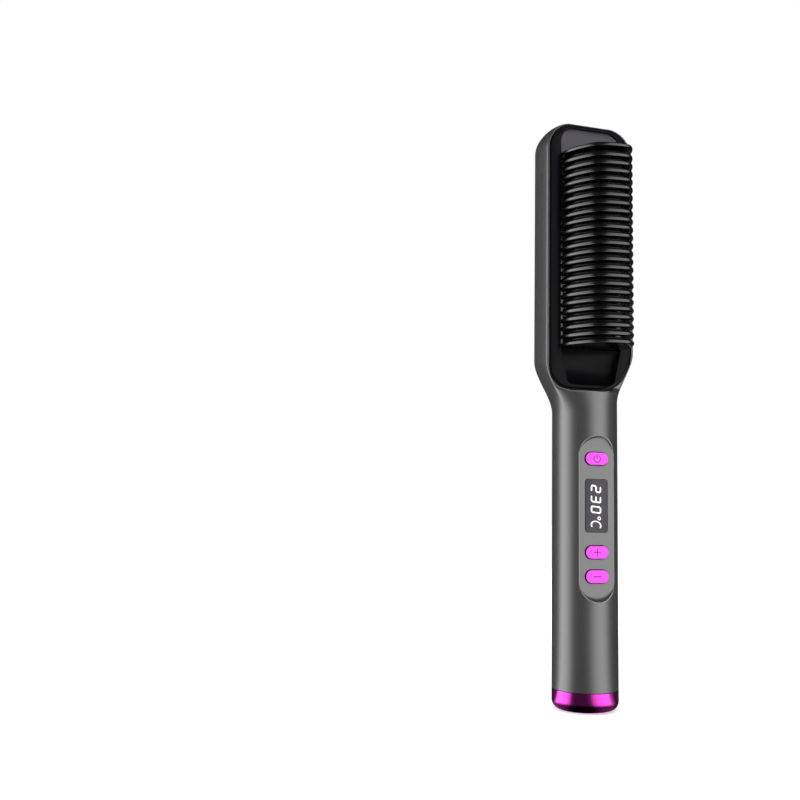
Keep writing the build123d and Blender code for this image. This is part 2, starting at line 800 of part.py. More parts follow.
def glyph(name):
    """One figure of the readout, upright about its own centre."""
    w, h = digit_width / 2, digit_height / 2 - digit_stroke / 2
    w -= digit_stroke / 2
    if name == "ring":
        lifted = Pos(0, h - degree_radius + digit_stroke / 2)
        return lifted * (Circle(degree_radius) - Circle(degree_radius - digit_stroke * 0.6))
    paths = {
        "2": ((-w, h), (w, h), (w, 0), (-w, 0), (-w, -h), (w, -h)),
        "3": ((-w, h), (w, h), (w, 0), (w, -h), (-w, -h)),
        "0": ((-w, h), (w, h), (w, -h), (-w, -h), (-w, h)),
        "C": ((w, h), (-w * 0.3, h), (-w, h * 0.5), (-w, -h * 0.5), (-w * 0.3, -h), (w, -h)),
    }
    shape = stroke(paths[name])
    if name == "3":
        shape += stroke(((-w * 0.6, 0), (w, 0)))
    return shape


def readout():
    """The readout's figures: they read downwards, with their tops towards +X."""
    front = -recess_floor_depth - segment_proud
    back = -recess_floor_depth + segment_depth
    solids = []
    for name, height in glyph_centres.items():
        turned = Pos(digit_offset, window_centre + height) * Rot(0, 0, -90) * glyph(name)
        solids.append(slab(turned, front, back))
    return solids


def display_window(figures):
    body = slab(window_face(0), -recess_floor_depth, -recess_floor_depth + window_thickness)
    for figure in figures:
        body -= figure
    return body


def display_module():
    return block(-module_half_width, module_half_width, recess_back + module_gap, -control_board_depth,
                 window_centre - module_half_height, window_centre + module_half_height)


# ---------------------------------------------------------------- boards
def control_board():
    y = -control_board_depth
    body = block(-control_board_half_width, control_board_half_width, y, y + board_thickness,
                 control_board_bottom, control_board_top)
    for x in (-control_post_x, control_post_x):
        for z in control_post_heights:
            body -= rod_y(x, z, screw_radius + screw_clearance / 2, y, y + board_thickness)
    return body


def control_board_screws():
    seat = -control_board_depth + board_thickness
    tip = recess_back + screw_end_gap
    return [screw(x, z, seat, tip, 1) for x in (-control_post_x, control_post_x)
            for z in control_post_heights]


def power_board():
    y = power_board_front
    body = block(-power_board_half_width, power_board_half_width, y, y + board_thickness,
                 power_board_bottom, power_board_top)
    for x in (-power_post_x, power_post_x):
        for z in power_post_heights:
            body -= rod_y(x, z, screw_radius + screw_clearance / 2, y, y + board_thickness)
    return body


def power_board_screws():
    seat = power_board_front
    tip = seat + board_thickness + 4.0
    return [screw(x, z, seat, tip, -1) for x in (-power_post_x, power_post_x)
            for z in power_post_heights]


def terminal_block():
    """Two screw terminals for the mains conductors."""
    z_low = power_board_bottom + 1.0
    body = block(-5.0, 5.0, power_board_back, power_board_back + 6.0, z_low, z_low + 7.0)
    for x in (-2.5, 2.5):
        body -= rod_y(x, z_low + 3.5, 1.4, power_board_back + 3.5, power_board_back + 6.0)
        body -= Pos(x, power_board_back + 2.0, z_low + 1.5) * Cylinder(1.1, 3.0)
    return body


def filter_capacitor():
    """A box film capacitor."""
    body = block(-6.0, 6.0, power_board_back, power_board_back + 5.5, 34.0, 39.0)
    return fillet(body.edges().filter_by(Axis.Y), 0.6)


def smoothing_capacitor():
    """An electrolytic can lying on the board."""
    radius = 3.0
    can = Pos(0, power_board_back + radius, 49.0) * Cylinder(radius, 12.0)
    return chamfer(can.edges(), 0.4)


def supply_transformer():
    """A small moulded transformer: a core around a bobbin."""
    core = block(-6.5, 6.5, power_board_back, power_board_back + 6.5, 59.0, 71.0)
    core -= block(-6.5, 6.5, power_board_back + 1.5, power_board_back + 5.0, 61.5, 63.0)
    core -= block(-6.5, 6.5, power_board_back + 1.5, power_board_back + 5.0, 67.0, 68.5)
    return core


def triac():
    """The switch for the heater, with its metal tab flat on the board."""
    tab = block(-5.0, 5.0, power_board_back, power_board_back + 1.3, 76.0, 91.5)
    tab -= rod_y(0, 88.7, 1.8, power_board_back, power_board_back + 1.3)
    return tab + block(-5.0, 5.0, power_board_back, power_board_back + 4.4, 76.0, 85.0)


def board_connector():
    """The header that joins the two boards."""
    return block(-6.0, 6.0, control_board_back, power_board_front, 79.0, 82.0)


# ---------------------------------------------------------------- heater pieces
def ceramic_heater(z_low, z_high):
    body = block(-ceramic_half_width, ceramic_half_width, base_back, ceramic_back, z_low, z_high)
    return chamfer(body.edges().filter_by(Axis.Y), 0.4)


def stack_ends():
    low, high = heater_low + stack_margin, heater_high - stack_margin
    return low, (low + high - ceramic_gap) / 2, (low + high + ceramic_gap) / 2, high


def insulation_sheet():
    low, _, _, high = stack_ends()
    return block(-sheet_half_width, sheet_half_width, ceramic_back, sheet_back, low, high)


def heater_clamp_plate():
    low, _, _, high = stack_ends()
    body = block(-clamp_half_width, clamp_half_width, sheet_back, clamp_back, low, high)
    rib_low, rib_high = low + 12.0, high - 12.0
    for x in (-4.0, 4.0):
        body += block(x - 0.6, x + 0.6, clamp_back, clamp_back + 0.6, rib_low, rib_high)
    for x in (-clamp_screw_x, clamp_screw_x):
        for z in clamp_screw_heights:
            body -= rod_y(x, z, screw_radius + screw_clearance / 2, sheet_back, clamp_back)
    return body


def clamp_screws():
    tip = ledge_back + pilot_floor + screw_end_gap
    return [screw(x, z, clamp_back, tip, 1) for x in (-clamp_screw_x, clamp_screw_x)
            for z in clamp_screw_heights]


def comb_screws():
    tip = -front_rim_depth + pilot_floor + screw_end_gap
    return [screw(x, z, base_back, tip, 1) for x in (-comb_screw_x, comb_screw_x)
            for z in comb_screw_heights]


def heat_shield():
    """A thin reflector between the heater and the rear wall."""
    low, high = heater_low + 1.0, heater_high - 1.0
    return block(-shield_half_width, shield_half_width, shield_back - shield_thickness, shield_back, low, high)


def thermistor():
    """The temperature bead, in a small block screwed to the heating plate's base."""
    return block(sensor_x - 1.4, sensor_x + 1.4, base_back, base_back + 1.6, sensor_low, sensor_low + 4.0)


def thermal_fuse():
    """The one-shot cut-out: a short can with a neck at each end."""
    radius = 1.45
    x, y, z = -sensor_x, base_back + radius, heater_low + 30.0
    can = Pos(x, y, z) * Cylinder(radius, 8.0)
    return can + Pos(x, y, z) * Cylinder(radius / 3, 14.0)


# ---------------------------------------------------------------- leads
def lead(points, radius):
    """A round lead along straight runs joined by arcs."""
    runs = []
    for a, b in zip(points, points[1:]):
        runs.append(sqrt(sum((p - q) ** 2 for p, q in zip(a, b))))
    radii = []
    for i in range(1, len(points) - 1):
        before = Vector(*points[i]) - Vector(*points[i - 1])
        after = Vector(*points[i + 1]) - Vector(*points[i])
        turn = radians(before.get_angle(after))
        radii.append(lead_bend * min(runs[i - 1], runs[i]) / (sin(turn / 2) / cos(turn / 2)))
    path = FilletPolyline(*points, radius=radii)
    start = path @ 0
    section = Plane(origin=start, z_dir=path % 0) * Circle(radius)
    return sweep(section, path=path)


def heater_leads():
    """Two glass-sleeved leads from the power board to the ceramic elements."""
    board_y = power_board_back + heater_lead_radius + lead_clearance
    element_y = (base_back + ceramic_back) / 2
    end = stack_ends()[0] - lead_gap
    solids = []
    for side in (-1, 1):
        x = side * heater_lead_x
        points = ((side * heater_lead_board_x, board_y, power_board_top - 7.0),
                  (side * heater_lead_board_x, board_y, power_board_top + 4.0),
                  (x, heater_lead_depth, handle_length - 6.0), (x, heater_lead_depth, end - 6.5),
                  (x, element_y, end - 2.5), (x, element_y, end))
        solids.append(lead(points, heater_lead_radius))
    return solids


def sensor_leads():
    """Two thin leads from the control board to the thermistor."""
    board_y = control_board_back + sensor_lead_radius + lead_clearance
    element_y = base_back + 0.8
    end = sensor_low - lead_gap
    solids = []
    for shift in (-sensor_lead_spacing / 2, sensor_lead_spacing / 2):
        points = ((sensor_lead_x + shift, board_y, control_board_top - 19.0),
                  (sensor_lead_x + shift, board_y, control_board_top - 4.0),
                  (sensor_lead_x + 3.0 + shift, heater_lead_depth, handle_length + 8.0),
                  (sensor_x - 1.5 + shift, heater_lead_depth, end - 12.0),
                  (sensor_x + shift, element_y, end - 3.0), (sensor_x + shift, element_y, end))
        solids.append(lead(points, sensor_lead_radius))
    return solids


def housing_screws():
    """The screws under the rear trim that pull the two housings together."""
    seat = rear_floor - housing_head_sink
    tip = bezel_back + pilot_floor + screw_end_gap
    return [screw(x, z, seat, tip, 1) for x, z in housing_screw_spots()]


# ---------------------------------------------------------------- build
def main():
    os.makedirs("parts", exist_ok=True)
    shell = casing_shell()
    save("front_housing", front_housing(shell))
    save("rear_housing", rear_housing(shell))
    save("end_cap", end_cap())
    save("cord_gland", cord_gland())
    save("gland_retainer", gland_retainer())
    save("housing_screws", *housing_screws())

    save("comb_bezel", comb_bezel())
    save("comb_guard", comb_guard())
    save("heating_plate", heating_plate())
    low, middle_low, middle_high, high = stack_ends()
    save("lower_ceramic_heater", ceramic_heater(low, middle_low))
    save("upper_ceramic_heater", ceramic_heater(middle_high, high))
    save("insulation_sheet", insulation_sheet())
    save("heater_clamp_plate", heater_clamp_plate())
    save("clamp_screws", *clamp_screws())
    save("comb_screws", *comb_screws())
    save("heat_shield", heat_shield())
    save("thermistor", thermistor())
    save("thermal_fuse", thermal_fuse())

    save("rear_trim_frame", rear_trim_frame())
    save("rear_panel", rear_panel())

    for name in button_heights:
        save(f"{name}_button", button(name))
        save(f"{name}_switch", switch_body(name))
        save(f"{name}_switch_plunger", switch_plunger(name))
    figures = readout()
    save("display_window", display_window(figures))
    save("display_readout", *figures)
    save("display_module", display_module())

    save("control_board", control_board())
    save("control_board_screws", *control_board_screws())
    save("power_board", power_board())
    save("power_board_screws", *power_board_screws())
    save("terminal_block", terminal_block())
    save("filter_capacitor", filter_capacitor())
    save("smoothing_capacitor", smoothing_capacitor())
    save("supply_transformer", supply_transformer())
    save("triac", triac())
    save("board_connector", board_connector())
    save("heater_leads", *heater_leads())
    save("sensor_leads", *sensor_leads())


main()
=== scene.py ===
"""Heated straightening comb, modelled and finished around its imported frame."""

from math import asin, atan2, cos, pi, radians, sin, sqrt, tan

import bmesh
import bpy
from mathutils import Matrix, Vector
from mathutils.bvhtree import BVHTree
from mathutils.interpolate import poly_3d_calc


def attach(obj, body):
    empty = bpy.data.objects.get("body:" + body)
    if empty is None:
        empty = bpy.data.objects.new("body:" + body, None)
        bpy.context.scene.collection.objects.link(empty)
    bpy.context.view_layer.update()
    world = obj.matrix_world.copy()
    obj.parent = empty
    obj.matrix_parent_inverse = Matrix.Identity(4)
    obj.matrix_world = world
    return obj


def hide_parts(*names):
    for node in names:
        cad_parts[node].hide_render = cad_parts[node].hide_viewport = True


bl_info = {
    "name": "Heated straightening comb",
    "version": (1, 0, 0),
    "blender": (4, 5, 0),
    "location": "3D View > Sidebar > Comb",
    "description": "Models and finishes a mains-heated straightening comb around its packed frame",
    "category": "Object",
}

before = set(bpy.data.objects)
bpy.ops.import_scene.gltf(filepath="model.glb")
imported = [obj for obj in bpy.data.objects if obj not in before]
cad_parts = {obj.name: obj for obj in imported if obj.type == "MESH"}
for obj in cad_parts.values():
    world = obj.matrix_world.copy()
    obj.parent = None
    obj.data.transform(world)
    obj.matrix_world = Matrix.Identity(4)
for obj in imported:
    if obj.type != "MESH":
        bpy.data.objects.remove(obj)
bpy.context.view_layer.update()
MM = 0.001
TWO_PI = 2 * pi
BRUSH = "brush"

# Driving sizes in millimetres. Heights count from the end cap's underside, and depths from the middle
# plane, negative on the comb's side. The head's half widths are those in front, in the middle and at
# the rear, and each key has the height of its middle.
HANDLE_HALF, HANDLE_DEPTH = 15.4, 13.8
HEAD_FRONT, HEAD_REAR, HEAD_HALVES = 6.6, 7.3, (22.4, 23.4, 22.8)
CORNER_FOOT, CORNER_AXIS = 261.0, 9.4
RECESS_MIDDLE, RECESS_SIZE, RECESS_FLOOR = 86.2, (17.5, 74.8), -11.3
WINDOW_MIDDLE, WINDOW_HALF, WINDOW_TALL, WINDOW_CORNER = 91.85, 5.75, 12.15, 1.6
WINDOW_BACK, WINDOW_GAP = -10.3, 0.06
KEYS = {"power": 113.2, "plus": 70.9, "minus": 60.1}
KEY_SIZE, KEY_FACE, KEY_BACK, KEY_GAP = (11.3, 5.7), -12.1, -9.4, 0.3
POCKET_HALF, POCKET_TOP, POCKET_FLOOR = 21.5, 274.0, -4.8
INSERT_FOOT, GROOVE_FOOT, GROOVE_FLOOR = 145.4, 144.1, -5.4
SCOOP_LOW, SCOOP_HIGH, SCOOP_FOOT, SCOOP_MOUTH = 147.6, 164.6, 11.9, 15.5
SCOOP_DEPTH, SCOOP_WALL = 5.2, 1.2
OPENING_HALF, OPENING_TOP = 15.95, 258.65
COMB_LOW, COMB_HIGH, COMB_HALF, COMB_INSIDE, COMB_RISE = 164.75, 258.5, 15.8, 12.8, 20.6
RIB_TOP, RIB_PITCH, RIBS, RIB_THICKNESS, END_THICKNESS = 253.0, 3.8, 23, 2.1, 1.7
FIN_HALF, FIN_THICKNESS, FIN_FOOT = 12.6, 1.0, -3.3
TRIM_HALF, TRIM_LOW, TRIM_HIGH, TRIM_SLANT = 21.7, 148.7, 273.2, 0.33
PANEL_FACE, PANEL_MIDDLE, PANEL_SPANS = 7.15, 208.0, (44, 150)

# How far a cutter passes the surface that it opens.
SKIM = 0.02


# ------------------------------------------------------------------ settings in the sidebar
def length(name, text, value):
    return bpy.props.FloatProperty(name=name, description=text, default=value * MM, unit="LENGTH")


def srgb(code):
    """An sRGB hex value as linear red, green, blue and alpha."""
    parts = [int(code[i:i + 2], 16) / 255 for i in (1, 3, 5)]
    return tuple(c / 12.92 if c <= 0.04045 else ((c + 0.055) / 1.055) ** 2.4 for c in parts) + (1.0,)


def colour(name, text, code):
    return bpy.props.FloatVectorProperty(
        name=name, description=text, default=srgb(code), size=4, subtype="COLOR", min=0.0, max=1.0)


class CombSizes(bpy.types.PropertyGroup):
    """Sizes of the finishing details."""
    rim: length("Rim rounding", "How far the casing's rims are rounded", 0.8)
    pocket_lip: length("Pocket lip", "Chamfer round the pockets and the button holes", 0.3)
    rib_round: length("Rib rounding", "How far the comb's ribs are rounded", 0.85)
    fin_round: length("Fin rounding", "How far the heated fins are rounded", 0.35)
    key_round: length("Key rounding", "How far the keys' faces are rounded", 0.22)
    facet_width: length("Facet width", "Width of one lozenge on the rear panel", 9.5)
    facet_height: length("Facet height", "Height of one lozenge on the rear panel", 16.0)
    facet_rise: length("Facet rise", "How far the middle of a lozenge stands up", 0.3)
    cap_round: length("Cap rounding", "Rounding of the end cap's lower edge", 4.2)


class CombColours(bpy.types.PropertyGroup):
    """Colours of the finishes."""
    casing: colour("Casing", "Satin gunmetal paint", "#767676")
    panel: colour("Panel", "Grey facetted panel", "#929292")
    chrome: colour("Magenta chrome", "Tinted vacuum chrome", "#EA44CA")
    black: colour("Comb", "Polished black of the comb", "#0A0A0C")
    ring: colour("Bezel", "Charcoal ring round the comb", "#0D0D10")
    # The ramp's lighter grey is painted light on the sloped face of the ring's moulding.
    ramp: colour("Ramp", "Grey sloped face above the comb", "#535058")
    key: colour("Keys", "Magenta keys", "#F848F6")
    symbol: colour("Symbols", "Darker mark inlaid in each key", "#A028A0")
    lens: colour("Lens", "Smoked display window", "#302C34")
    lit: colour("Readout", "Lit figures of the display", "#F4F4F6")


# ------------------------------------------------------------------ modelling helpers
def clear():
    if bpy.context.object and bpy.context.object.mode != "OBJECT":
        bpy.ops.object.mode_set(mode="OBJECT")
    bpy.ops.object.select_all(action="DESELECT")


def hold(*pieces):
    """Selects only these pieces; the first is the active one."""
    clear()
    for piece in pieces:
        piece.select_set(True)
    bpy.context.view_layer.objects.active = pieces[0]


def edit(piece, kind="VERT"):
    """Opens a piece in edit mode with all of it selected."""
    hold(piece)
    bpy.ops.object.mode_set(mode="EDIT")
    bpy.ops.mesh.select_mode(type=kind)
    bpy.ops.mesh.select_all(action="SELECT")


def done():
    bpy.ops.object.mode_set(mode="OBJECT")


def pick(piece, kind, test):
    """In edit mode, selects the verts, edges or faces whose centre in millimetres passes the test."""
    bpy.ops.mesh.select_all(action="DESELECT")
    mesh = bmesh.from_edit_mesh(piece.data)
    for item in getattr(mesh, kind):
        ends = [item] if kind == "verts" else item.verts
        centre = sum((v.co for v in ends), Vector()) / len(ends) / MM
        if test(centre, item):
            item.select_set(True)
    mesh.select_flush_mode()
    bmesh.update_edit_mesh(piece.data)


def outwards():
    """In edit mode, turns every face outwards and goes back to object mode."""
    bpy.ops.mesh.select_all(action="SELECT")
    bpy.ops.mesh.normals_make_consistent(inside=False)
    done()


def placed(point, axis, level):
    """A point of a flat outline, in X and Z at a depth or in X and Y at a height."""
    a, b = point
    return Vector((a, level, b)) * MM if axis == "Y" else Vector((a, b, level)) * MM


def plate(name, outline, low, high, axis="Y"):
    """A circle whose points are set on the outline, filled, and extruded from low to high."""
    clear()
    bpy.ops.mesh.primitive_circle_add(vertices=len(outline), fill_type="NGON")
    piece = bpy.context.object
    piece.name = name
    for vertex, point in zip(piece.data.vertices, outline):
        vertex.co = placed(point, axis, low)
    run = (0, (high - low) * MM, 0) if axis == "Y" else (0, 0, (high - low) * MM)
    edit(piece)
    bpy.ops.mesh.extrude_region_move(TRANSFORM_OT_translate={"value": run})
    outwards()
    return piece


def sheet(name, rows, joined=False, closed=False):
    """A grid whose rows are set on sections; joined closes each row, closed joins last row to first."""
    rows = [list(row) + ([row[0]] if joined else []) for row in rows]
    rows += [rows[0]] if closed else []
    clear()
    bpy.ops.mesh.primitive_grid_add(x_subdivisions=len(rows[0]) - 1, y_subdivisions=len(rows) - 1)
    piece = bpy.context.object
    piece.name = name
    for vertex, point in zip(piece.data.vertices, [p for row in rows for p in row]):
        vertex.co = Vector(point) * MM
    edit(piece)
    bpy.ops.mesh.remove_doubles(threshold=1e-6)
    done()
    return piece


def fill_openings(piece, *tests):
    """Closes each open loop that a test picks by its place."""
    edit(piece, "EDGE")
    for test in tests:
        pick(piece, "edges", lambda c, e: e.is_boundary and test(c))
        bpy.ops.mesh.edge_face_add()
    outwards()


def lofted(name, loops):
    """A closed solid through loops of equal point counts; the first and the last lie flat at a depth."""
    piece = sheet(name, loops, joined=True)
    fill_openings(piece, *[lambda c, y=loop[0][1]: abs(c.y - y) < 0.01 for loop in (loops[0], loops[-1])])
    return piece


def join(*pieces):
    hold(*pieces)
    bpy.ops.object.join()
    return pieces[0]


def shape(piece, kind, **settings):
    """Adds a modifier with these settings and applies it."""
    hold(piece)
    step = piece.modifiers.new(kind.lower(), kind)
    for key, value in settings.items():
        setattr(step, key, value)
    bpy.ops.object.modifier_apply(modifier=step.name)


def cut(piece, cutter, how="DIFFERENCE"):
    shape(piece, "BOOLEAN", operation=how, object=cutter, solver="EXACT")
    bpy.data.objects.remove(cutter)


def bevel(piece, test, width, segments):
    """Bevels the edges that the test picks by place."""
    edit(piece, "EDGE")
    pick(piece, "edges", test)
    bpy.ops.mesh.bevel(offset=width, segments=segments, affect="EDGES", clamp_overlap=True)
    done()


def round_corners(piece, width, least):
    """Rounds every corner of a piece that turns by at least so many degrees."""
    shape(piece, "BEVEL", width=width * MM, segments=2, limit_method="ANGLE", angle_limit=radians(least),
          use_clamp_overlap=True)


def repeat_down(piece, count):
    """Repeats a piece down the comb, one rib's pitch apart."""
    shape(piece, "ARRAY", count=count, use_relative_offset=False, use_constant_offset=True,
          constant_offset_displace=(0, 0, -RIB_PITCH * MM))


def soften(piece, angle):
    """Shades a piece smooth, with an edge kept sharp where it turns by more than so many degrees."""
    hold(piece)
    bpy.ops.object.shade_smooth_by_angle(angle=radians(angle))


def copy_of(piece, name):
    hold(piece)
    bpy.ops.object.duplicate()
    made = bpy.context.object
    made.name = name
    return made


def block(name, x, y, z):
    return plate(name, [(x[0], z[0]), (x[1], z[0]), (x[1], z[1]), (x[0], z[1])], y[0], y[1])


def paint(piece, *materials):
    piece.data.materials.clear()
    for material in materials:
        piece.data.materials.append(material)


def settle(piece, body, slot, nodes, *materials):
    """Gives a finished piece its materials and body, and hides the nodes that it stands for; its slot is not
    used.
    """
    if materials:
        paint(piece, *materials)
    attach(piece, body)
    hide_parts(*nodes)


# ------------------------------------------------------------------ outlines, in millimetres
def rounded(corners, radii, steps=14):
    """A closed outline through corners that are each rounded."""
    points = []
    for i, (corner, radius) in enumerate(zip(corners, radii)):
        corner = Vector(corner)
        before = (Vector(corners[i - 1]) - corner).normalized()
        after = (Vector(corners[(i + 1) % len(corners)]) - corner).normalized()
        half = before.angle(after) / 2
        centre = corner + (before + after).normalized() * radius / sin(half)
        start = corner + before * radius / tan(half) - centre
        end = corner + after * radius / tan(half) - centre
        first = atan2(start.y, start.x)
        turn = (atan2(end.y, end.x) - first + pi) % TWO_PI - pi
        for k in range(steps + 1):
            a = first + turn * k / steps
            points.append((centre.x + radius * cos(a), centre.y + radius * sin(a)))
    return points


def rounded_box(half, low, high, radii, steps=14):
    """An outline across the middle plane; its radii run from the lower corner at -X."""
    return rounded([(-half, low), (half, low), (half, high), (-half, high)], radii, steps)


def pocket_outline(offset, foot, foot_radius):
    """The front pocket, drawn in by offset: its two lower corners differ."""
    radii = [radius - offset for radius in (foot_radius, 20, 13, 13)]
    return rounded_box(POCKET_HALF - offset, foot + offset, POCKET_TOP - offset, radii)


def insert_outline(offset):
    """The ring that lies in the pocket."""
    return pocket_outline(offset, INSERT_FOOT, 11)


def groove_outline(offset):
    """The pocket as it opens in the front: lower than the ring in it, which leaves a groove."""
    return pocket_outline(offset, GROOVE_FOOT, 11.4)


def rear_outline(offset):
    """The rear trim, drawn in by offset: its lower edge is slanted."""
    half, high = TRIM_HALF - offset, TRIM_HIGH - offset
    low = TRIM_LOW + offset * sqrt(1 + TRIM_SLANT ** 2)
    return rounded([(-half, low - TRIM_SLANT * half), (half, low + TRIM_SLANT * half), (half, high),
                    (-half, high)], [radius - offset for radius in (11, 11, 12.6, 12.6)])


def window_outline(offset):
    """The display window, drawn in by offset."""
    half, tall, radius = WINDOW_HALF - offset, WINDOW_TALL - offset, WINDOW_CORNER - offset
    return rounded_box(half, WINDOW_MIDDLE - tall, WINDOW_MIDDLE + tall, [radius] * 4, steps=8)


def scoop_outline(grow):
    """The finger scoop, widened by grow: it is narrower at its foot than at the comb."""
    foot, mouth, low, radius = SCOOP_FOOT + grow, SCOOP_MOUTH + grow, SCOOP_LOW - grow, 3 + grow
    return rounded([(-foot, low), (foot, low), (mouth, SCOOP_HIGH), (-mouth, SCOOP_HIGH)],
                   [radius, radius, 0.05, 0.05], 8)


def stadium(z, width, height, grow=0.0, steps=12):
    """A slot across the middle plane, lying along X or, when it is taller than wide, standing along Z."""
    radius = min(width, height) / 2 + grow
    reach = abs(width - height) / 2
    points = []
    for side in (1, -1):
        for k in range(2 * steps + 1):
            a = pi * (k / (2 * steps) - 0.5)
            u, v = side * (reach + radius * cos(a)), side * radius * sin(a)
            points.append((u, z + v) if width >= height else (-v, z + u))
    return points


def at_depth(outline, y):
    return [(x, y, z) for x, z in outline]


def smooth_line(points, steps=4):
    """A smooth curve through the points."""
    pts = [Vector(p) for p in points]
    pts = [2 * pts[0] - pts[1]] + pts + [2 * pts[-1] - pts[-2]]
    line = []
    for a, b, c, d in zip(pts, pts[1:], pts[2:], pts[3:]):
        for k in range(steps):
            t = k / steps
            line.append(0.5 * (2 * b + (c - a) * t + (2 * a - 5 * b + 4 * c - d) * t ** 2
                               + (3 * b - a - 3 * c + d) * t ** 3))
    return [tuple(p) for p in line + [pts[-2]]]


# ------------------------------------------------------------------ casing sections
def ease(t):
    t = min(1.0, max(0.0, t))
    return t * t * (3 - 2 * t)


def spaced(line, count, skip):
    """Evenly spaced points along a line of points, leaving a length out at both ends."""
    reach = [0.0]
    for a, b in zip(line, line[1:]):
        reach.append(reach[-1] + (b - a).length)
    out, k = [], 0
    for i in range(count + 1):
        want = skip + (reach[-1] - 2 * skip) * i / count
        while k < len(reach) - 2 and reach[k + 1] < want:
            k += 1
        out.append(line[k].lerp(line[k + 1], (want - reach[k]) / (reach[k + 1] - reach[k])))
    return out


def mix(a, b, t):
    return a + (b - a) * t


def levels(start, step, count):
    return [start + step * i for i in range(count)]


def centre_through(a, b, c):
    """The centre of the circle through three points."""
    d = 2 * (a.x * (b.y - c.y) + b.x * (c.y - a.y) + c.x * (a.y - b.y))
    aa, bb, cc = a.length_squared, b.length_squared, c.length_squared
    return Vector(((aa * (b.y - c.y) + bb * (c.y - a.y) + cc * (a.y - b.y)) / d,
                   (aa * (c.x - b.x) + bb * (a.x - c.x) + cc * (b.x - a.x)) / d))


# Each shoulder's start above the foot, and its run, in front and at the rear: at -X and then at +X.
SHOULDER_FOOT = 132.0
SHOULDERS = (((1.5, 23.5), (2.5, 25.0)), ((8.0, 25.0), (6.0, 24.0)))
# Where the handle's round front and rear end on the head, and the height in which they flatten. The
# rear's end climbs towards +X.
FRONT_END, FRONT_FADE = 147.3, 3.2
REAR_END, REAR_FADE, REAR_SLANT, REAR_CURVE = 146.3, 3.6, 0.28, 0.004


class Skin:
    """A skin of the casing: a round handle that spreads into a flat head, with one shoulder lower.

    The inset counts inwards from the outer skin. Front and rear are the depths of the head's faces, and
    lifts raise the ends of the handle's round front and rear. The rim is how far from an edge its
    rounding starts, and counts are the points across a face, along a side and round an edge.
    """

    def __init__(self, inset, front, rear, lifts, rim, counts):
        self.wide, self.deep = HANDLE_HALF - inset, HANDLE_DEPTH - inset
        self.front, self.rear = front, rear
        self.front_half, middle_half, self.rear_half = (half - inset for half in HEAD_HALVES)
        self.lifts, self.rim, self.counts = lifts, rim, counts
        edge = Vector((self.front_half, -front))
        self.arc = centre_through(edge, Vector((middle_half, 0)), Vector((self.rear_half, rear)))
        self.arc_radius = (edge - self.arc).length

    def spread(self, z, across, back):
        """How far the handle has spread to the head's width; across is -1 at -X and 1 at +X."""
        low, high = ([mix(a, b, back) for a, b in zip(*shoulder)] for shoulder in SHOULDERS)
        start, run = (mix(a, b, (across + 1) / 2) for a, b in zip(low, high))
        return ease((z - SHOULDER_FOOT - start) / run)

    def bulge(self, z, x, side):
        """How round the front (side -1) or the rear (1) still is: 1 on the handle and 0 on the head."""
        if side < 0:
            end, fade = FRONT_END + self.lifts[0], FRONT_FADE
        else:
            end, fade = REAR_END + REAR_SLANT * x + REAR_CURVE * x * x + self.lifts[1], REAR_FADE
        return 1 - ease((z - end + fade) / fade)

    def face(self, z, side, steps=40):
        """The section's front (side -1) or rear (1) edge, from -X to +X."""
        depth, half = (self.front, self.front_half) if side < 0 else (self.rear, self.rear_half)
        corner = self.wide * sqrt(1 - (depth / self.deep) ** 2)
        reach = asin(corner / self.wide)
        line = []
        for i in range(-steps, steps + 1):
            x_round, y_round = self.wide * sin(reach * i / steps), self.deep * cos(reach * i / steps)
            across = x_round / corner
            x = x_round + across * (half - corner) * self.spread(z, across, (side + 1) / 2)
            line.append(Vector((x, side * (depth + (y_round - depth) * self.bulge(z, x, side)))))
        return line

    def flank(self, z, side, steps=40):
        """The section's bowed side at -X or +X, from front to rear."""
        line = []
        for i in range(steps + 1):
            y = -self.front + (self.front + self.rear) * i / steps
            x_round = self.wide * sqrt(1 - (y / self.deep) ** 2)
            crown = self.arc.x + sqrt(self.arc_radius ** 2 - (y - self.arc.y) ** 2)
            s = self.spread(z, side, min(1.0, (y + self.front) / self.front))
            line.append(Vector((side * (x_round + (crown - x_round) * s), y)))
        return line

    def ring(self, z, shrink=0.0):
        """The whole section at a height, with its four edges rounded."""
        faces, sides, beads = self.counts
        lines = [self.face(z, -1), self.flank(z, 1), self.face(z, 1)[::-1], self.flank(z, -1)[::-1]]
        parts = [spaced(line, n, self.rim) for line, n in zip(lines, (faces, sides, faces, sides))]
        ring = []
        for i, part in enumerate(parts):
            corner, start, end = lines[i][-1], part[-1], parts[(i + 1) % 4][0]
            ring += part
            ring += [(1 - t) ** 2 * start + 2 * t * (1 - t) * corner + t * t * end
                     for t in [k / beads for k in range(1, beads)]]
        scale = 1 - shrink / self.wide
        return [(p.x * scale, p.y * scale, z) for p in ring]

    def solid(self, name, heights, arc_steps, shrink=0.0):
        """The whole closed skin: rings up to the head's corners, then its side swept over the top."""
        faces, sides, beads = self.counts
        rings = [self.ring(heights[0], shrink)] + [self.ring(z) for z in heights[1:]]
        body = sheet(name, rings, joined=True)
        edge = rings[-1][faces:faces + 2 * beads + sides + 1]
        rows = []
        for side in (1, -1):
            for k in range(arc_steps + 1):
                a = pi / 2 * (k / arc_steps + (side < 0))
                rows.append([(side * CORNER_AXIS + (x - CORNER_AXIS) * cos(a), y,
                              z + (x - CORNER_AXIS) * sin(a)) for x, y, z in edge])
        body = join(body, sheet("top", rows))
        edit(body)
        bpy.ops.mesh.remove_doubles(threshold=2e-6)
        done()
        low = heights[0]
        fill_openings(body, lambda c: c.z < low + 0.01, lambda c: c.z > low + 1 and c.y < 0,
                      lambda c: c.z > low + 1 and c.y > 0)
        return body


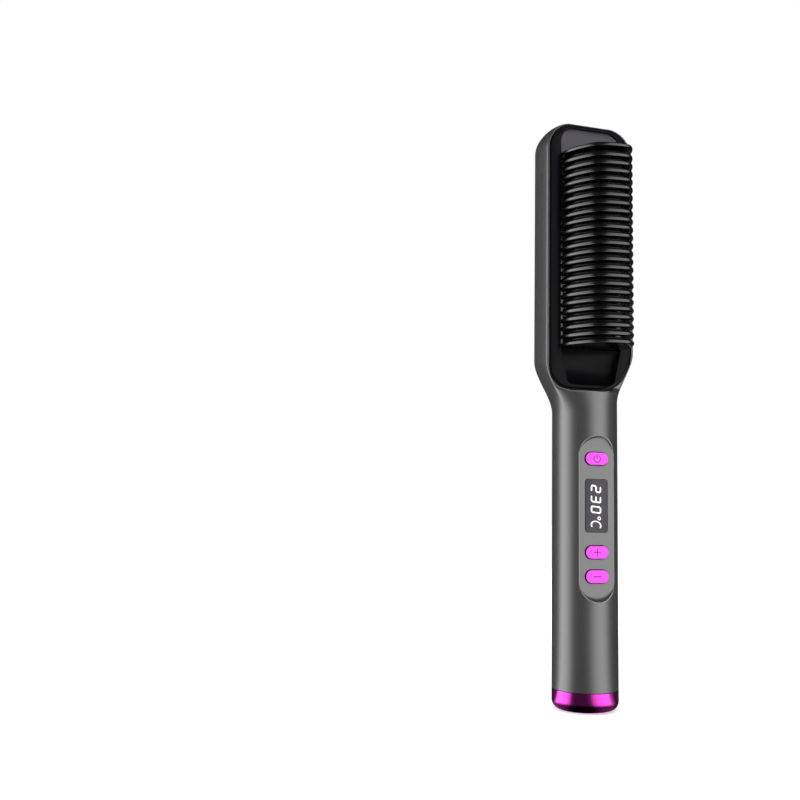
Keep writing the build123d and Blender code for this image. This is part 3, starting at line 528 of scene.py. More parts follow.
# ------------------------------------------------------------------ cutters for the casing
def marked(cutter, slant=0.2, test=lambda centre: True):
    """Gives a cutter the casing's paint and a painted highlight, which the chamfers that it leaves take on as
    a bright line.
    """
    paint(cutter, casing_paint(), painted_highlight_edge())
    for polygon in cutter.data.polygons:
        if slant < abs(polygon.normal.y) < 0.95 and test(polygon.center / MM):
            polygon.material_index = 1
    return cutter


def recess_cutter():
    """The control recess: a flat floor that fades into the round handle and sweeps up at its ends."""
    sweep, margin, flare, short, least = 1.5, 0.8, 0.35, 0.15, 0.03
    turns = range(0, 85, 12)

    def surface(x):
        return -HANDLE_DEPTH * sqrt(1 - (x / HANDLE_HALF) ** 2)

    base, wide = (stadium(RECESS_MIDDLE, *RECESS_SIZE, grow, 24) for grow in (0.0, 1.0))
    loops = [[] for _ in range(len(turns) + 3)]
    for (x, z), (x1, z1) in zip(base, wide):
        nx, nz = x1 - x, z1 - z
        rise = max(RECESS_FLOOR - surface(x) - short, least)
        run = rise * sweep
        loops[0].append((x - (run + margin) * nx, RECESS_FLOOR, z - (run + margin) * nz))
        for loop, turn in zip(loops[1:], turns):
            back = run * (1 - sin(radians(turn)))
            depth = RECESS_FLOOR - rise * (1 - cos(radians(turn)))
            loop.append((x - nx * back, max(depth, surface(x - nx * back) - SKIM), z - nz * back))
        for loop, depth in zip(loops[-2:], (surface(x + nx * flare) - SKIM, -20.0)):
            loop.append((x + nx * flare, depth, z + nz * flare))
    return marked(lofted("recess", loops), test=lambda centre: centre.y < surface(centre.x) + 0.2)


def lip_cutter(name, outline, floor, rim, lip, far):
    """A pocket from rim down to floor whose edge is chamfered by lip; far is where the cutter ends."""
    way = 1 if floor > rim else -1
    return marked(lofted(name, [at_depth(outline(0), floor), at_depth(outline(0), rim + way * lip),
                                at_depth(outline(-lip), rim - way * SKIM), at_depth(outline(-lip), far)]))


def front_cutter(skin, lip, spacing=0.5):
    """The front pocket, with a chamfer that follows the skin wherever the pocket's edge meets it."""
    mesh = skin.data
    tree = BVHTree.FromPolygons([v.co for v in mesh.vertices], [p.vertices for p in mesh.polygons])
    sharp, wide = groove_outline(0), groove_outline(-lip)
    near, far, tops = [], [], []
    for i in range(len(sharp)):
        j = (i + 1) % len(sharp)
        count = max(1, round((Vector(sharp[j]) - Vector(sharp[i])).length / spacing))
        for points, line in ((near, sharp), (far, wide)):
            points += [Vector(line[i]).lerp(Vector(line[j]), k / count) for k in range(count)]
    for x, z in far:
        hit = tree.ray_cast(Vector((x, -50, z)) * MM, Vector((0, 1, 0)))[0]
        tops.append(min(hit.y / MM if hit else -HEAD_FRONT, GROOVE_FLOOR))
    cutter = lofted("front", [at_depth(near, POCKET_FLOOR),
                              [(x, y + lip, z) for (x, z), y in zip(near, tops)],
                              [(x, y - SKIM, z) for (x, z), y in zip(far, tops)], at_depth(far, -30)])
    return marked(cutter, slant=0.15)


def true_normals(piece, source):
    """Where the piece keeps the source's surface, gives it the source's smooth normals."""
    near, alike, off = 0.03 * MM, 0.93, 0.002 * MM
    mesh = source.data
    tree = BVHTree.FromPolygons([v.co for v in mesh.vertices], [p.vertices for p in mesh.polygons])
    plain = [corner.vector.copy() for corner in piece.data.corner_normals]
    normals = []
    smooth = [corner.vector.copy() for corner in mesh.corner_normals]
    for polygon in piece.data.polygons:
        for loop in polygon.loop_indices:
            point = piece.data.vertices[piece.data.loops[loop].vertex_index].co
            normals.append(plain[loop])
            hit, facing, index, gap = tree.find_nearest(point + polygon.normal * off)
            if gap < near and facing.dot(polygon.normal) > alike:
                face = mesh.polygons[index]
                weights = poly_3d_calc([mesh.vertices[v].co for v in face.vertices], hit)
                normals[-1] = sum((smooth[i] * w for i, w in zip(face.loop_indices, weights)),
                                  Vector()).normalized()
    piece.data.normals_split_custom_set(normals)


# ------------------------------------------------------------------ materials
def node(tree, kind, settings=None, links=None):
    """Adds one node, sets its values and links its inputs."""
    made = tree.nodes.new(kind)
    for key, value in (settings or {}).items():
        if isinstance(key, str) and hasattr(made, key):
            setattr(made, key, value)
        else:
            made.inputs[key].default_value = value
    for key, source in (links or {}).items():
        tree.links.new(source, made.inputs[key])
    return made


FINISHES = {}


def finish(name, base, roughness, grain_mm, grain, metallic=0.0, bump=0.0, coat=0.0, light=0.0, gloss=0.5):
    """A finish with a fine grain of a size in millimetres.

    Its tone varies by the share in grain, its roughness by an eighth, and its surface by bump millimetres.
    """
    if name in FINISHES:
        return FINISHES[name]
    material = bpy.data.materials.new(name)
    material.use_nodes = True
    tree = material.node_tree
    shader = tree.nodes["Principled BSDF"]
    place = node(tree, "ShaderNodeTexCoord")
    noise = node(tree, "ShaderNodeTexNoise", {"Scale": 1 / (grain_mm * MM), "Detail": 3.0},
                 {"Vector": place.outputs["Object"]})

    def varied(middle, share=0.12):
        return node(tree, "ShaderNodeMapRange", {"From Min": 0.3, "From Max": 0.7,
                                                 "To Min": middle * (1 - share),
                                                 "To Max": middle * (1 + share)},
                    {"Value": noise.outputs["Fac"]}).outputs["Result"]

    tint = node(tree, "ShaderNodeVectorMath", {"operation": "SCALE", 0: base[:3]},
                {"Scale": varied(1.0, grain)})
    tree.links.new(tint.outputs["Vector"], shader.inputs["Base Color"])
    tree.links.new(varied(roughness), shader.inputs["Roughness"])
    if bump:
        dent = node(tree, "ShaderNodeBump", {"Strength": 0.5, "Distance": bump * MM},
                    {"Height": noise.outputs["Fac"]})
        tree.links.new(dent.outputs["Normal"], shader.inputs["Normal"])
    shader.inputs["Metallic"].default_value = metallic
    shader.inputs["Specular IOR Level"].default_value = gloss
    if coat:
        shader.inputs["Coat Weight"].default_value = coat
        shader.inputs["Coat Roughness"].default_value = 0.05
    if light:
        shader.inputs["Emission Color"].default_value = base
        shader.inputs["Emission Strength"].default_value = light
    FINISHES[name] = material
    return material


def casing_paint():
    # Metallic paint on moulded ABS: aluminium flake under a satin lacquer, so wide soft streaks of light
    # with a faint sparkle. The flake of 0.05 mm is drawn at 0.25 mm so that it shows.
    return finish("satin_gunmetal_paint", bpy.context.scene.comb_colours.casing, metallic=0.82,
                  roughness=0.33, grain_mm=0.25, grain=0.05, bump=0.002)


def painted_highlight_edge():
    # Painted highlight: the casing's grey made lighter on the fine chamfers, for the thin bright line that
    # light draws along them.
    return finish("bright_chamfer", srgb("#A4A4A6"), metallic=0.3, roughness=0.4, grain_mm=0.25, grain=0.03)


def magenta_chrome():
    # Vacuum metallised ABS under a magenta lacquer: a sharp tinted mirror with a trace of orange peel.
    return finish("magenta_vacuum_chrome", bpy.context.scene.comb_colours.chrome, metallic=1.0,
                  roughness=0.1, grain_mm=1.5, grain=0.03, bump=0.004, coat=0.3)


def comb_black():
    # Polished black nylon: near-black with crisp highlights along every rounded rib.
    return finish("polished_black_nylon", bpy.context.scene.comb_colours.black, roughness=0.15,
                  grain_mm=0.6, grain=0.2, bump=0.003, coat=0.5, gloss=0.9)


def ring_black():
    # Moulded ABS from a lightly etched tool: charcoal with a dull sheen.
    return finish("etched_charcoal_abs", bpy.context.scene.comb_colours.ring, roughness=0.34, grain_mm=0.2,
                  grain=0.08, bump=0.006, gloss=0.1)


def painted_gap_shade():
    # Painted shade: a deep, dull near-black on the side walls in each gap and groove, where shade falls.
    return finish("black_primer", srgb("#060607"), roughness=0.6, grain_mm=0.3, grain=0.1)


# ------------------------------------------------------------------ pieces
class COMB_OT_casing(bpy.types.Operator):
    """Front and rear housing, cut from one skin."""
    bl_idname = "comb.casing"
    bl_label = "Casing"

    def execute(self, context):
        sizes = context.scene.comb_sizes
        rim, lip, fine_lip = sizes.rim / MM, sizes.pocket_lip / MM, 0.12
        skin = Skin(inset=0, front=HEAD_FRONT, rear=HEAD_REAR, lifts=(0, 0), rim=rim, counts=(30, 14, 6))
        heights = [9.2, 9.35] + levels(12.0, 4.0, 31) + levels(134.0, 0.4, 51) + levels(155.0, 1.0, 12)
        heights += levels(168.0, 6.0, 15) + [CORNER_FOOT]
        outer = skin.solid("front_casing", heights, 16, shrink=0.15)
        # The second slot is the painted highlight that the cutters' chamfers carry over.
        paint(outer, casing_paint(), painted_highlight_edge())
        soften(outer, angle=40)
        source = copy_of(outer, "casing_source")
        hollow = Skin(inset=2, front=3.3, rear=3.5, lifts=(-3.9, -1.5), rim=0.3, counts=(16, 8, 3))
        inner = hollow.solid("cavity", [5.0, 60.0, 132.0] + levels(134.0, 0.8, 40) + [CORNER_FOOT], 8)
        cut(inner, plate("pad", stadium(RECESS_MIDDLE, 21.4, 78.4), low=-16, high=-9.6))
        cut(outer, inner)
        cut(outer, recess_cutter())
        for z in KEYS.values():
            cut(outer, lip_cutter("hole", lambda o, z=z: stadium(z, *KEY_SIZE, KEY_GAP - o), floor=KEY_BACK,
                                  rim=RECESS_FLOOR, lip=fine_lip, far=-15))
        cut(outer, lip_cutter("seat", lambda o: window_outline(o - WINDOW_GAP), floor=WINDOW_BACK,
                              rim=RECESS_FLOOR, lip=fine_lip, far=-15))
        cut(outer, plate("view", window_outline(0.8), low=-11, high=KEY_BACK))
        cut(outer, front_cutter(source, lip))
        cut(outer, block("ledge", x=(-19.1, 19.1), y=(-5.0, -3.0), z=(164.0, CORNER_FOOT)))
        cut(outer, plate("bowl_hole", scoop_outline(SCOOP_WALL + 0.2), low=-5.0, high=-3.0))
        cut(outer, lip_cutter("rear", lambda o: rear_outline(o - 0.3), floor=5.0, rim=HEAD_REAR, lip=lip,
                              far=30))
        rear = copy_of(outer, "rear_casing")
        for piece, housing, side in ((outer, "front_housing", (-40, 0)), (rear, "rear_housing", (0, 40))):
            cut(piece, block("half", x=(-40, 40), y=side, z=(-5, 290)), "INTERSECT")
            soften(piece, angle=32)
            true_normals(piece, source)
            settle(piece, BRUSH, "body_grey", [housing])
        bpy.data.objects.remove(source)
        return {"FINISHED"}


def scoop_roll(grow):
    """The scoop's rolled floor, a cylinder along X."""
    half = (SCOOP_HIGH - SCOOP_LOW) / 2
    radius = (half ** 2 + SCOOP_DEPTH ** 2) / (2 * SCOOP_DEPTH)
    y, z = SCOOP_DEPTH - HEAD_FRONT - radius, (SCOOP_LOW + SCOOP_HIGH) / 2
    clear()
    bpy.ops.mesh.primitive_cylinder_add(vertices=160, radius=(radius + grow) * MM, depth=60 * MM,
                                        location=(0, y * MM, z * MM), rotation=(0, pi / 2, 0))
    roll = bpy.context.object
    bpy.ops.object.transform_apply(location=True, rotation=True, scale=True)
    return roll


# The ring's section above the groove: how far in from the insert's outline, and at which depth.
RING_PROFILE = ((0.5, -5.42), (0.5, -5.9), (0.6, -6.25), (0.85, -6.5), (1.2, -HEAD_FRONT))
# The sloped face above the comb: its pocket's heights and upper corners, and its own gap and slope.
RAMP_LOW, RAMP_HIGH, RAMP_CORNER = 258.0, 271.9, 7.45
RAMP_GAP, RAMP_FOOT, RAMP_SUNK, RAMP_CLIMB = 0.4, 258.66, -7.4, 1.65


def scoop_bowl(name, grow, low, high):
    """The scoop as a solid with its rolled floor, widened all round by grow."""
    bowl = plate(name, scoop_outline(grow), low, high)
    cut(bowl, scoop_roll(grow), "INTERSECT")
    return bowl


class COMB_OT_bezel(bpy.types.Operator):
    """Black insert round the comb, with its sloped face and finger scoop."""
    bl_idname = "comb.bezel"
    bl_label = "Bezel"

    def execute(self, context):
        foot = groove_outline(0.06)
        bezel = lofted("bezel", [at_depth(foot, POCKET_FLOOR), at_depth(foot, GROOVE_FLOOR)]
                       + [at_depth(insert_outline(o), y) for o, y in RING_PROFILE])
        paint(bezel, ring_black(), painted_gap_shade())
        # Painted shade: the walls down in the groove get the near-black.
        for face in bezel.data.polygons:
            face.material_index = int(face.center.y > -5.6 * MM)
        cut(bezel, scoop_bowl("bowl", grow=SCOOP_WALL, low=-5.2, high=3.5), "UNION")
        cut(bezel, block("opening", x=(-OPENING_HALF, OPENING_HALF), y=(-9, -1), z=(SCOOP_HIGH, OPENING_TOP)))
        cut(bezel, scoop_bowl("hollow", grow=0, low=-9, high=5))
        ramp = rounded_box(OPENING_HALF, RAMP_LOW, RAMP_HIGH, [0.1, 0.1, RAMP_CORNER, RAMP_CORNER], steps=12)
        cut(bezel, plate("hollow", ramp, low=-9, high=-5.7))
        round_corners(bezel, width=0.22, least=50)
        soften(bezel, angle=35)
        settle(bezel, BRUSH, "black_gloss", ["comb_bezel"])

        top, corner = RAMP_HIGH - RAMP_GAP, RAMP_CORNER - RAMP_GAP
        inner = rounded_box(OPENING_HALF - RAMP_GAP, RAMP_FOOT, top, [0.1, 0.1, corner, corner], steps=12)
        slope = plate("ramp_face", inner, low=RAMP_SUNK, high=-5.2)
        for vertex in slope.data.vertices:
            if vertex.co.y < -6 * MM:
                up = (vertex.co.z / MM - RAMP_FOOT) / (top - RAMP_FOOT)
                vertex.co.y = (RAMP_SUNK + RAMP_CLIMB * up) * MM
        round_corners(slope, width=0.15, least=50)
        soften(slope, angle=35)
        # The same moulding as the ring, with painted light: its sloped face is coloured a lighter grey where
        # it faces the light.
        ramp_painted_light = finish("satin_grey_abs", context.scene.comb_colours.ramp, roughness=0.35, grain_mm=0.3,
                           grain=0.05, bump=0.003)
        settle(slope, BRUSH, "black_gloss", ["comb_bezel"], ramp_painted_light)
        return {"FINISHED"}


# The arches of a rib and of a fin, as shares of their half width and of the comb's rise.
ARCH = ((-1.0, 0.0), (-0.98, 0.15), (-0.925, 0.31), (-0.79, 0.51), (-0.605, 0.71), (-0.4, 0.865),
        (-0.14, 0.955), (0.16, 0.992), (0.4, 1.0), (0.62, 0.965), (0.8, 0.83), (0.915, 0.6),
        (0.975, 0.3), (1.0, 0.0))
FIN = ((-1.0, 0.0), (-0.985, 0.36), (-0.77, 0.55), (-0.5, 0.71), (-0.2, 0.82), (0.12, 0.865),
       (0.4, 0.87), (0.62, 0.81), (0.75, 0.66), (0.8, 0.4), (0.81, 0.0))


def arch_line(points, half, rise):
    return smooth_line([(x * half, -HEAD_FRONT - y * rise) for x, y in points])


def end_edges(low, high):
    """Tests for the edges round both flat ends of an upright plate."""
    return lambda c, e: all(abs(v.co.z / MM - low) < 0.001 for v in e.verts) or all(
        abs(v.co.z / MM - high) < 0.001 for v in e.verts)


def face_edges(depth):
    """Tests for the edges round the flat face of a piece at a depth."""
    return lambda c, e: all(abs(v.co.y / MM - depth) < 0.01 for v in e.verts)


class COMB_OT_comb(bpy.types.Operator):
    """Arched ribs, end plates and rails of the cool outer comb."""
    bl_idname = "comb.guard"
    bl_label = "Comb"

    def execute(self, context):
        outer = arch_line(ARCH, COMB_HALF, COMB_RISE)
        inner = arch_line(ARCH, COMB_INSIDE, COMB_RISE * 0.8)
        low, high = RIB_TOP - RIB_THICKNESS / 2, RIB_TOP + RIB_THICKNESS / 2
        foot = POCKET_FLOOR
        band = outer + [(COMB_HALF, foot), (COMB_INSIDE, foot)] + inner[::-1]
        rib = plate("comb", band + [(-COMB_INSIDE, foot), (-COMB_HALF, foot)], low, high, "Z")
        bevel(rib, end_edges(low, high), context.scene.comb_sizes.rib_round, segments=3)
        repeat_down(rib, RIBS)
        pieces = [rib]
        for low in (COMB_LOW, COMB_HIGH - END_THICKNESS):
            high = low + END_THICKNESS
            end = plate("end_plate", outer + [(COMB_HALF, foot), (-COMB_HALF, foot)], low, high, "Z")
            bevel(end, end_edges(low, high), 0.6 * MM, segments=4)
            pieces.append(end)
        for ends in ((-COMB_HALF, -COMB_INSIDE), (COMB_INSIDE, COMB_HALF)):
            rail = block("rail", x=ends, y=(-6.55, foot), z=(COMB_LOW, COMB_HIGH))
            bevel(rail, lambda c, e: c.y < -6.5, 0.3 * MM, segments=2)
            pieces.append(rail)
        flange = block("flange", x=(-18.8, 18.8), y=(foot, FIN_FOOT), z=(COMB_LOW, 260.7))
        cut(flange, block("open", x=(-COMB_INSIDE, COMB_INSIDE), y=(-6, -2),
                          z=(COMB_LOW + END_THICKNESS, COMB_HIGH - END_THICKNESS)))
        comb = join(*pieces, flange)
        soften(comb, angle=40)
        settle(comb, BRUSH, "black_gloss", ["comb_guard"], comb_black())
        return {"FINISHED"}


class COMB_OT_fins(bpy.types.Operator):
    """Heated plate with its fins between the ribs."""
    bl_idname = "comb.fins"
    bl_label = "Heating plate"

    def execute(self, context):
        line = arch_line(FIN, FIN_HALF, COMB_RISE)
        outline = line + [(line[-1][0], FIN_FOOT), (-FIN_HALF, FIN_FOOT)]
        middle = RIB_TOP + RIB_PITCH / 2
        low, high = middle - FIN_THICKNESS / 2, middle + FIN_THICKNESS / 2
        fins = plate("heated_fins", outline, low, high, "Z")
        bevel(fins, end_edges(low, high), context.scene.comb_sizes.fin_round, segments=3)
        repeat_down(fins, RIBS + 1)
        base = block("base", x=(-18.5, 18.5), y=(FIN_FOOT, -1.3), z=(166.45, 256.8))
        bevel(base, lambda c, e: True, 0.2 * MM, segments=2)
        fins = join(fins, base)
        soften(fins, angle=40)
        # Die-cast aluminium with a fired ceramic glaze: black with a soft gloss and a slight waviness.
        glaze = finish("black_ceramic_glaze", srgb("#060607"), roughness=0.42, grain_mm=0.8, grain=0.15,
                       bump=0.01, gloss=0.3)
        settle(fins, BRUSH, "black_coating", ["heating_plate"], glaze)
        return {"FINISHED"}


# The rear trim's closed section: how far in from its outline, and at which depth.
TRIM_PROFILE = ((0, 5.0), (0, 6.9), (0.06, 7.04), (0.2, 7.1), (0.42, 7.1), (0.55, 7.04), (0.7, 6.97),
                (2.0, 6.72), (3.3, 6.46), (3.48, 6.36), (3.54, 6.16), (3.6, 5.0))


class COMB_OT_rear(bpy.types.Operator):
    """Chromed trim frame and the facetted panel inside it."""
    bl_idname = "comb.rear"
    bl_label = "Rear trim and panel"

    def execute(self, context):
        sizes = context.scene.comb_sizes
        trim = sheet("rear_trim", [at_depth(rear_outline(o), y) for o, y in TRIM_PROFILE], joined=True,
                     closed=True)
        edit(trim)
        outwards()
        soften(trim, angle=24)
        settle(trim, BRUSH, "magenta_chrome", ["rear_trim_frame"], magenta_chrome(), painted_gap_shade())
        # Painted shade: the trim's side walls get the near-black, where shade falls in the gaps.
        for face in trim.data.polygons:
            face.material_index = int(abs(face.normal.y) < 0.3)

        width, height, rise = (size / MM for size in (sizes.facet_width, sizes.facet_height,
                                                      sizes.facet_rise))
        cols, rows = (int(span / (size / 2)) // 2 * 2 for span, size in zip(PANEL_SPANS, (width, height)))
        clear()
        bpy.ops.mesh.primitive_grid_add(x_subdivisions=cols, y_subdivisions=rows)
        panel = bpy.context.object
        panel.name = "rear_facets"
        for i, vertex in enumerate(panel.data.vertices):
            col, row = i % (cols + 1), i // (cols + 1)
            y = PANEL_FACE + (rise if (col + row) % 2 else 0.0)
            z = PANEL_MIDDLE + (row - rows / 2) * height / 2
            vertex.co = Vector(((col - cols / 2) * width / 2, y, z)) * MM
        edit(panel)
        pick(panel, "verts", lambda c, v: c.y < PANEL_FACE + rise / 2)
        bpy.ops.mesh.vert_connect()
        bpy.ops.mesh.select_all(action="SELECT")
        bpy.ops.mesh.extrude_region_move(TRANSFORM_OT_translate={"value": (0, -2.5 * MM, 0)})
        outwards()
        cut(panel, plate("outline", rear_outline(4.2), low=5.0, high=8.0), "INTERSECT")

        def rim(c, e):
            sides = [abs(f.normal.y) > 0.9 for f in e.link_faces]
            return c.y > 6.9 and len(sides) == 2 and sides[0] != sides[1]

        bevel(panel, rim, 0.22 * MM, segments=2)
        hold(panel)
        bpy.ops.object.shade_flat()
        # Satin grey enamel on a moulded panel: each lozenge takes the light at its own angle.
        enamel = finish("satin_grey_enamel", context.scene.comb_colours.panel, metallic=0.35,
                        roughness=0.38, grain_mm=0.3, grain=0.03, bump=0.002)
        settle(panel, BRUSH, "panel_grey", ["rear_panel"], enamel, painted_gap_shade())
        # Painted shade: the panel's side walls get the near-black of the gap round it.
        for face in panel.data.polygons:
            face.material_index = int(min(panel.data.vertices[v].co.y for v in face.vertices) < 6.0 * MM)
        return {"FINISHED"}


class COMB_OT_cap(bpy.types.Operator):
    """Chromed end cap."""
    bl_idname = "comb.cap"
    bl_label = "End cap"

    def execute(self, context):
        # Each row has a half width, a half depth and a height: from the gland's bore over the underside
        # and up the outside, then over the spigot that enters the handle and down the inside.
        turn = context.scene.comb_sizes.cap_round / MM
        bore, seat, wall, spigot = 5.05, 8.2, 11.8, 13.3
        thinner = HANDLE_HALF - HANDLE_DEPTH
        rows = [(bore, bore, 3.0), (bore, bore, 0.15), (bore + 0.15, bore + 0.15, 0.0)]
        for k in range(13):
            a = pi / 2 * k / 12
            rows.append((HANDLE_HALF - turn + turn * sin(a), HANDLE_DEPTH - turn + turn * sin(a),
                         turn - turn * cos(a)))
        rows += [(HANDLE_HALF, HANDLE_DEPTH, 9.0), (HANDLE_HALF - 0.15, HANDLE_DEPTH - 0.15, 9.15)]
        rows += [(half, half - thinner, z) for half, z in ((spigot, 9.2), (spigot, 15.2), (wall, 15.2),
                                                           (wall, 6.2))]
        rows += [(seat, seat, 6.2), (seat, seat, 3.0)]
        turns = [TWO_PI * i / 128 for i in range(128)]
        cap = sheet("end_cap_chrome", [[(a * cos(t), b * sin(t), z) for t in turns] for a, b, z in rows],
                    joined=True, closed=True)
        edit(cap)
        outwards()
        soften(cap, angle=35)
        settle(cap, BRUSH, "magenta_chrome", ["end_cap"], magenta_chrome())
        return {"FINISHED"}


def bar(left, right, low, high):
    """A straight stroke as a closed outline."""
    return [(left, low), (right, low), (right, high), (left, high)]


def arc_band(x, z, radius, width, first, last, stretch=1.0, steps=24):
    """A curved stroke as a closed outline."""
    outline = []
    for r, order in ((radius + width / 2, 1), (radius - width / 2, -1)):
        turn = [first + (last - first) * k / steps for k in range(steps + 1)][::order]
        outline += [(x + r * cos(radians(a)), z + r * stretch * sin(radians(a))) for a in turn]
    return outline


def key_marks(name, z):
    """The outlines of a key's symbol: a broken ring with a bar, a cross or a dash."""
    half = 0.25
    if name == "power":
        return [arc_band(0, z, radius=1.65, width=2 * half, first=125, last=415),
                bar(-half, half, z + 0.1, z + 1.95)]
    marks = [bar(-1.9, 1.9, z - half, z + half)]
    if name == "plus":
        marks.append(bar(-half, half, z - 1.9, z + 1.9))
    return marks


class COMB_OT_keys(bpy.types.Operator):
    """Three magenta keys with inlaid symbols."""
    bl_idname = "comb.keys"
    bl_label = "Keys"

    def execute(self, context):
        colours, sizes = context.scene.comb_colours, context.scene.comb_sizes
        # Silk-smooth coloured ABS: evenly pink with a soft sheen.
        pink = finish("magenta_abs", colours.key, roughness=0.35, grain_mm=0.25, grain=0.03, bump=0.002)
        # The same plastic in a deeper shade, moulded into the key: dull, so that the mark stays legible.
        ink = finish("sunk_symbol", colours.symbol, roughness=0.5, grain_mm=0.2, grain=0.05)
        for name, z in KEYS.items():
            key = plate(name + "_key", stadium(z, *KEY_SIZE), KEY_FACE, KEY_BACK)
            bevel(key, face_edges(KEY_FACE), sizes.key_round, segments=4)
            foot = plate("foot", stadium(z, *KEY_SIZE, grow=0.7), low=KEY_BACK, high=-8.7)
            inlays = [plate("mark", mark, low=KEY_FACE - 0.01, high=KEY_FACE + 0.3)
                      for mark in key_marks(name, z)]
            # Painted shade: the key's side walls and its foot in the hole get the near-black of the gap.
            paint(key, pink, ink, painted_gap_shade())
            for polygon in key.data.polygons:
                if abs(polygon.normal.y) < 0.2:
                    polygon.material_index = 2
            paint(foot, painted_gap_shade())
            for inlay in inlays:
                paint(inlay, ink)
            key = join(key, foot, *inlays)
            soften(key, angle=35)
            settle(key, name + "_button_body", "button_magenta", [name + "_button"])
        return {"FINISHED"}


def segment(u0, v0, u1, v1, width):
    """One pointed bar of a figure, as an outline in the figure's own plane."""
    a, b = Vector((u0, v0)), Vector((u1, v1))
    along = (b - a).normalized()
    side = Vector((-along.y, along.x)) * width / 2
    tip = along * width / 2
    return [a, a + tip + side, b - tip + side, b, b - tip - side, a + tip - side]


class COMB_OT_readout(bpy.types.Operator):
    """Smoked window and the lit figures set in its face."""
    bl_idname = "comb.readout"
    bl_label = "Readout"

    def execute(self, context):
        colours = context.scene.comb_colours
        lens = plate("display_lens", window_outline(0), RECESS_FLOOR, WINDOW_BACK)
        bevel(lens, face_edges(RECESS_FLOOR), 0.2 * MM, segments=2)
        soften(lens, angle=35)
        # Smoked polycarbonate over a dark mask: an even grey-violet with a clean gloss.
        smoked = finish("smoked_polycarbonate", colours.lens, roughness=0.22, grain_mm=1.0, grain=0.02)
        settle(lens, BRUSH, "smoked_lens", ["display_window"], smoked)

        # Seven bars make a figure; a figure's place counts down the handle from the window's middle.
        w, h, stroke, lean = 1.32, 2.25, 0.72, 0.12
        bars = {"a": (-w, h, w, h), "b": (w, h, w, 0), "c": (w, 0, w, -h), "d": (-w, -h, w, -h),
                "e": (-w, -h, -w, 0), "f": (-w, 0, -w, h), "g": (-w, 0, w, 0)}
        outlines = [(segment(*bars[letter], stroke), place)
                    for letters, place in (("abged", 7.6), ("abgcd", 3.0), ("abcdef", -1.8))
                    for letter in letters]
        degree = arc_band(0, 1.6, radius=0.65, width=0.42, first=0, last=359.9)
        celsius = arc_band(0.2, 0, radius=1.75, width=0.5, first=55, last=305, stretch=1.36)
        outlines += [(degree, -5.5), (celsius, -8.6)]
        pieces = []
        for outline, place in outlines:
            points = [(v - 0.25, WINDOW_MIDDLE + place - (u + lean * v)) for u, v in outline]
            pieces.append(plate("figures", points, low=RECESS_FLOOR - 0.03, high=-11.1))
        figures = join(*pieces)
        # Lit segments: an even cool white that glows a little.
        white = finish("lit_segments", colours.lit, roughness=0.4, grain_mm=0.5, grain=0.02, light=0.35)
        settle(figures, BRUSH, "white_readout", ["display_readout"], white)
        return {"FINISHED"}


class COMB_OT_inside(bpy.types.Operator):
    """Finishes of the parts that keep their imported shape."""
    bl_idname = "comb.inside"
    bl_label = "Inner parts"

    def execute(self, context):
        # Zinc-plated steel: a cool grey metal with a soft sheen.
        steel = finish("zinc_plated_steel", srgb("#B9B9BE"), metallic=1.0, roughness=0.32, grain_mm=0.3,
                       grain=0.05, bump=0.004)
        # Fired alumina: a chalky off-white.
        alumina = finish("fired_alumina", srgb("#EDEBE2"), roughness=0.55, grain_mm=0.4, grain=0.04,
                         bump=0.01)
        # Polyimide film: amber with a clear gloss.
        film = finish("polyimide_film", srgb("#B9701F"), roughness=0.25, grain_mm=1.2, grain=0.06)
        # Rolled aluminium sheet: a bright metal, dulled by the rollers.
        aluminium = finish("rolled_aluminium", srgb("#C9C9CD"), metallic=1.0, roughness=0.4, grain_mm=0.5,
                           grain=0.05, bump=0.004)
        # Moulded nylon: dull black.
        dark = finish("moulded_nylon", srgb("#1C1C1E"), roughness=0.5, grain_mm=0.3, grain=0.1, bump=0.006)
        # Solder mask on glass laminate: green and glossy.
        board = finish("solder_mask", srgb("#1C5A33"), roughness=0.35, grain_mm=1.0, grain=0.08, bump=0.004)
        # Moulded polyamide: a flat blue.
        blue = finish("terminal_polyamide", srgb("#2C5FA8"), roughness=0.45, grain_mm=0.4, grain=0.06,
                      bump=0.006)
        # Moulded box of a film capacitor: a flat yellow.
        yellow = finish("capacitor_box", srgb("#D8A81E"), roughness=0.45, grain_mm=0.4, grain=0.05,
                        bump=0.006)
        # Braided glass sleeve: matt white with a coarse surface.
        sleeve = finish("glass_sleeve", srgb("#E4E2DA"), roughness=0.8, grain_mm=0.35, grain=0.1, bump=0.03)
        # Moulded rubber: matt black.
        rubber = finish("matt_rubber", srgb("#141415"), roughness=0.7, grain_mm=0.35, grain=0.12, bump=0.01)
        table = {
            steel: ("gland_retainer", "housing_screws", "clamp_screws", "comb_screws",
                    "control_board_screws", "power_board_screws"),
            alumina: ("lower_ceramic_heater", "upper_ceramic_heater", "thermistor"),
            film: ("insulation_sheet",),
            aluminium: ("heater_clamp_plate", "heat_shield", "thermal_fuse"),
            board: ("control_board", "power_board"),
            blue: ("terminal_block",),
            yellow: ("filter_capacitor",),
            sleeve: ("heater_leads", "sensor_leads"),
            rubber: ("cord_gland",),
        }
        given = {name: material for material, names in table.items() for name in names}
        for name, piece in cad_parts.items():
            paint(piece, given.get(name, dark))
        return {"FINISHED"}


# ------------------------------------------------------------------ stage
CAMERA_PLACE = (-203.295, -382.475, 90.635)
CAMERA_YAW, CAMERA_PITCH, CAMERA_ROLL, CAMERA_LENS = -16.366, 6.585, 1.234, 40.61
# The lamps' aim on the brush's axis, in metres.
AIM_HEIGHT = 0.14
# The cards round the brush, each as an azimuth and a grey.
CARDS = ((0, 0.22), (6, 0.06), (16, 0.02), (50, 0.02), (58, 0.05), (66, 0.33), (76, 0.6), (92, 0.85),
         (104, 0.95), (112, 0.6), (119, 0.15), (126, 0.03), (140, 0.015), (270, 0.015), (286, 0.02),
         (299, 0.14), (308, 0.42), (315, 0.6), (330, 0.62), (344, 0.5), (352, 0.38), (360, 0.22))


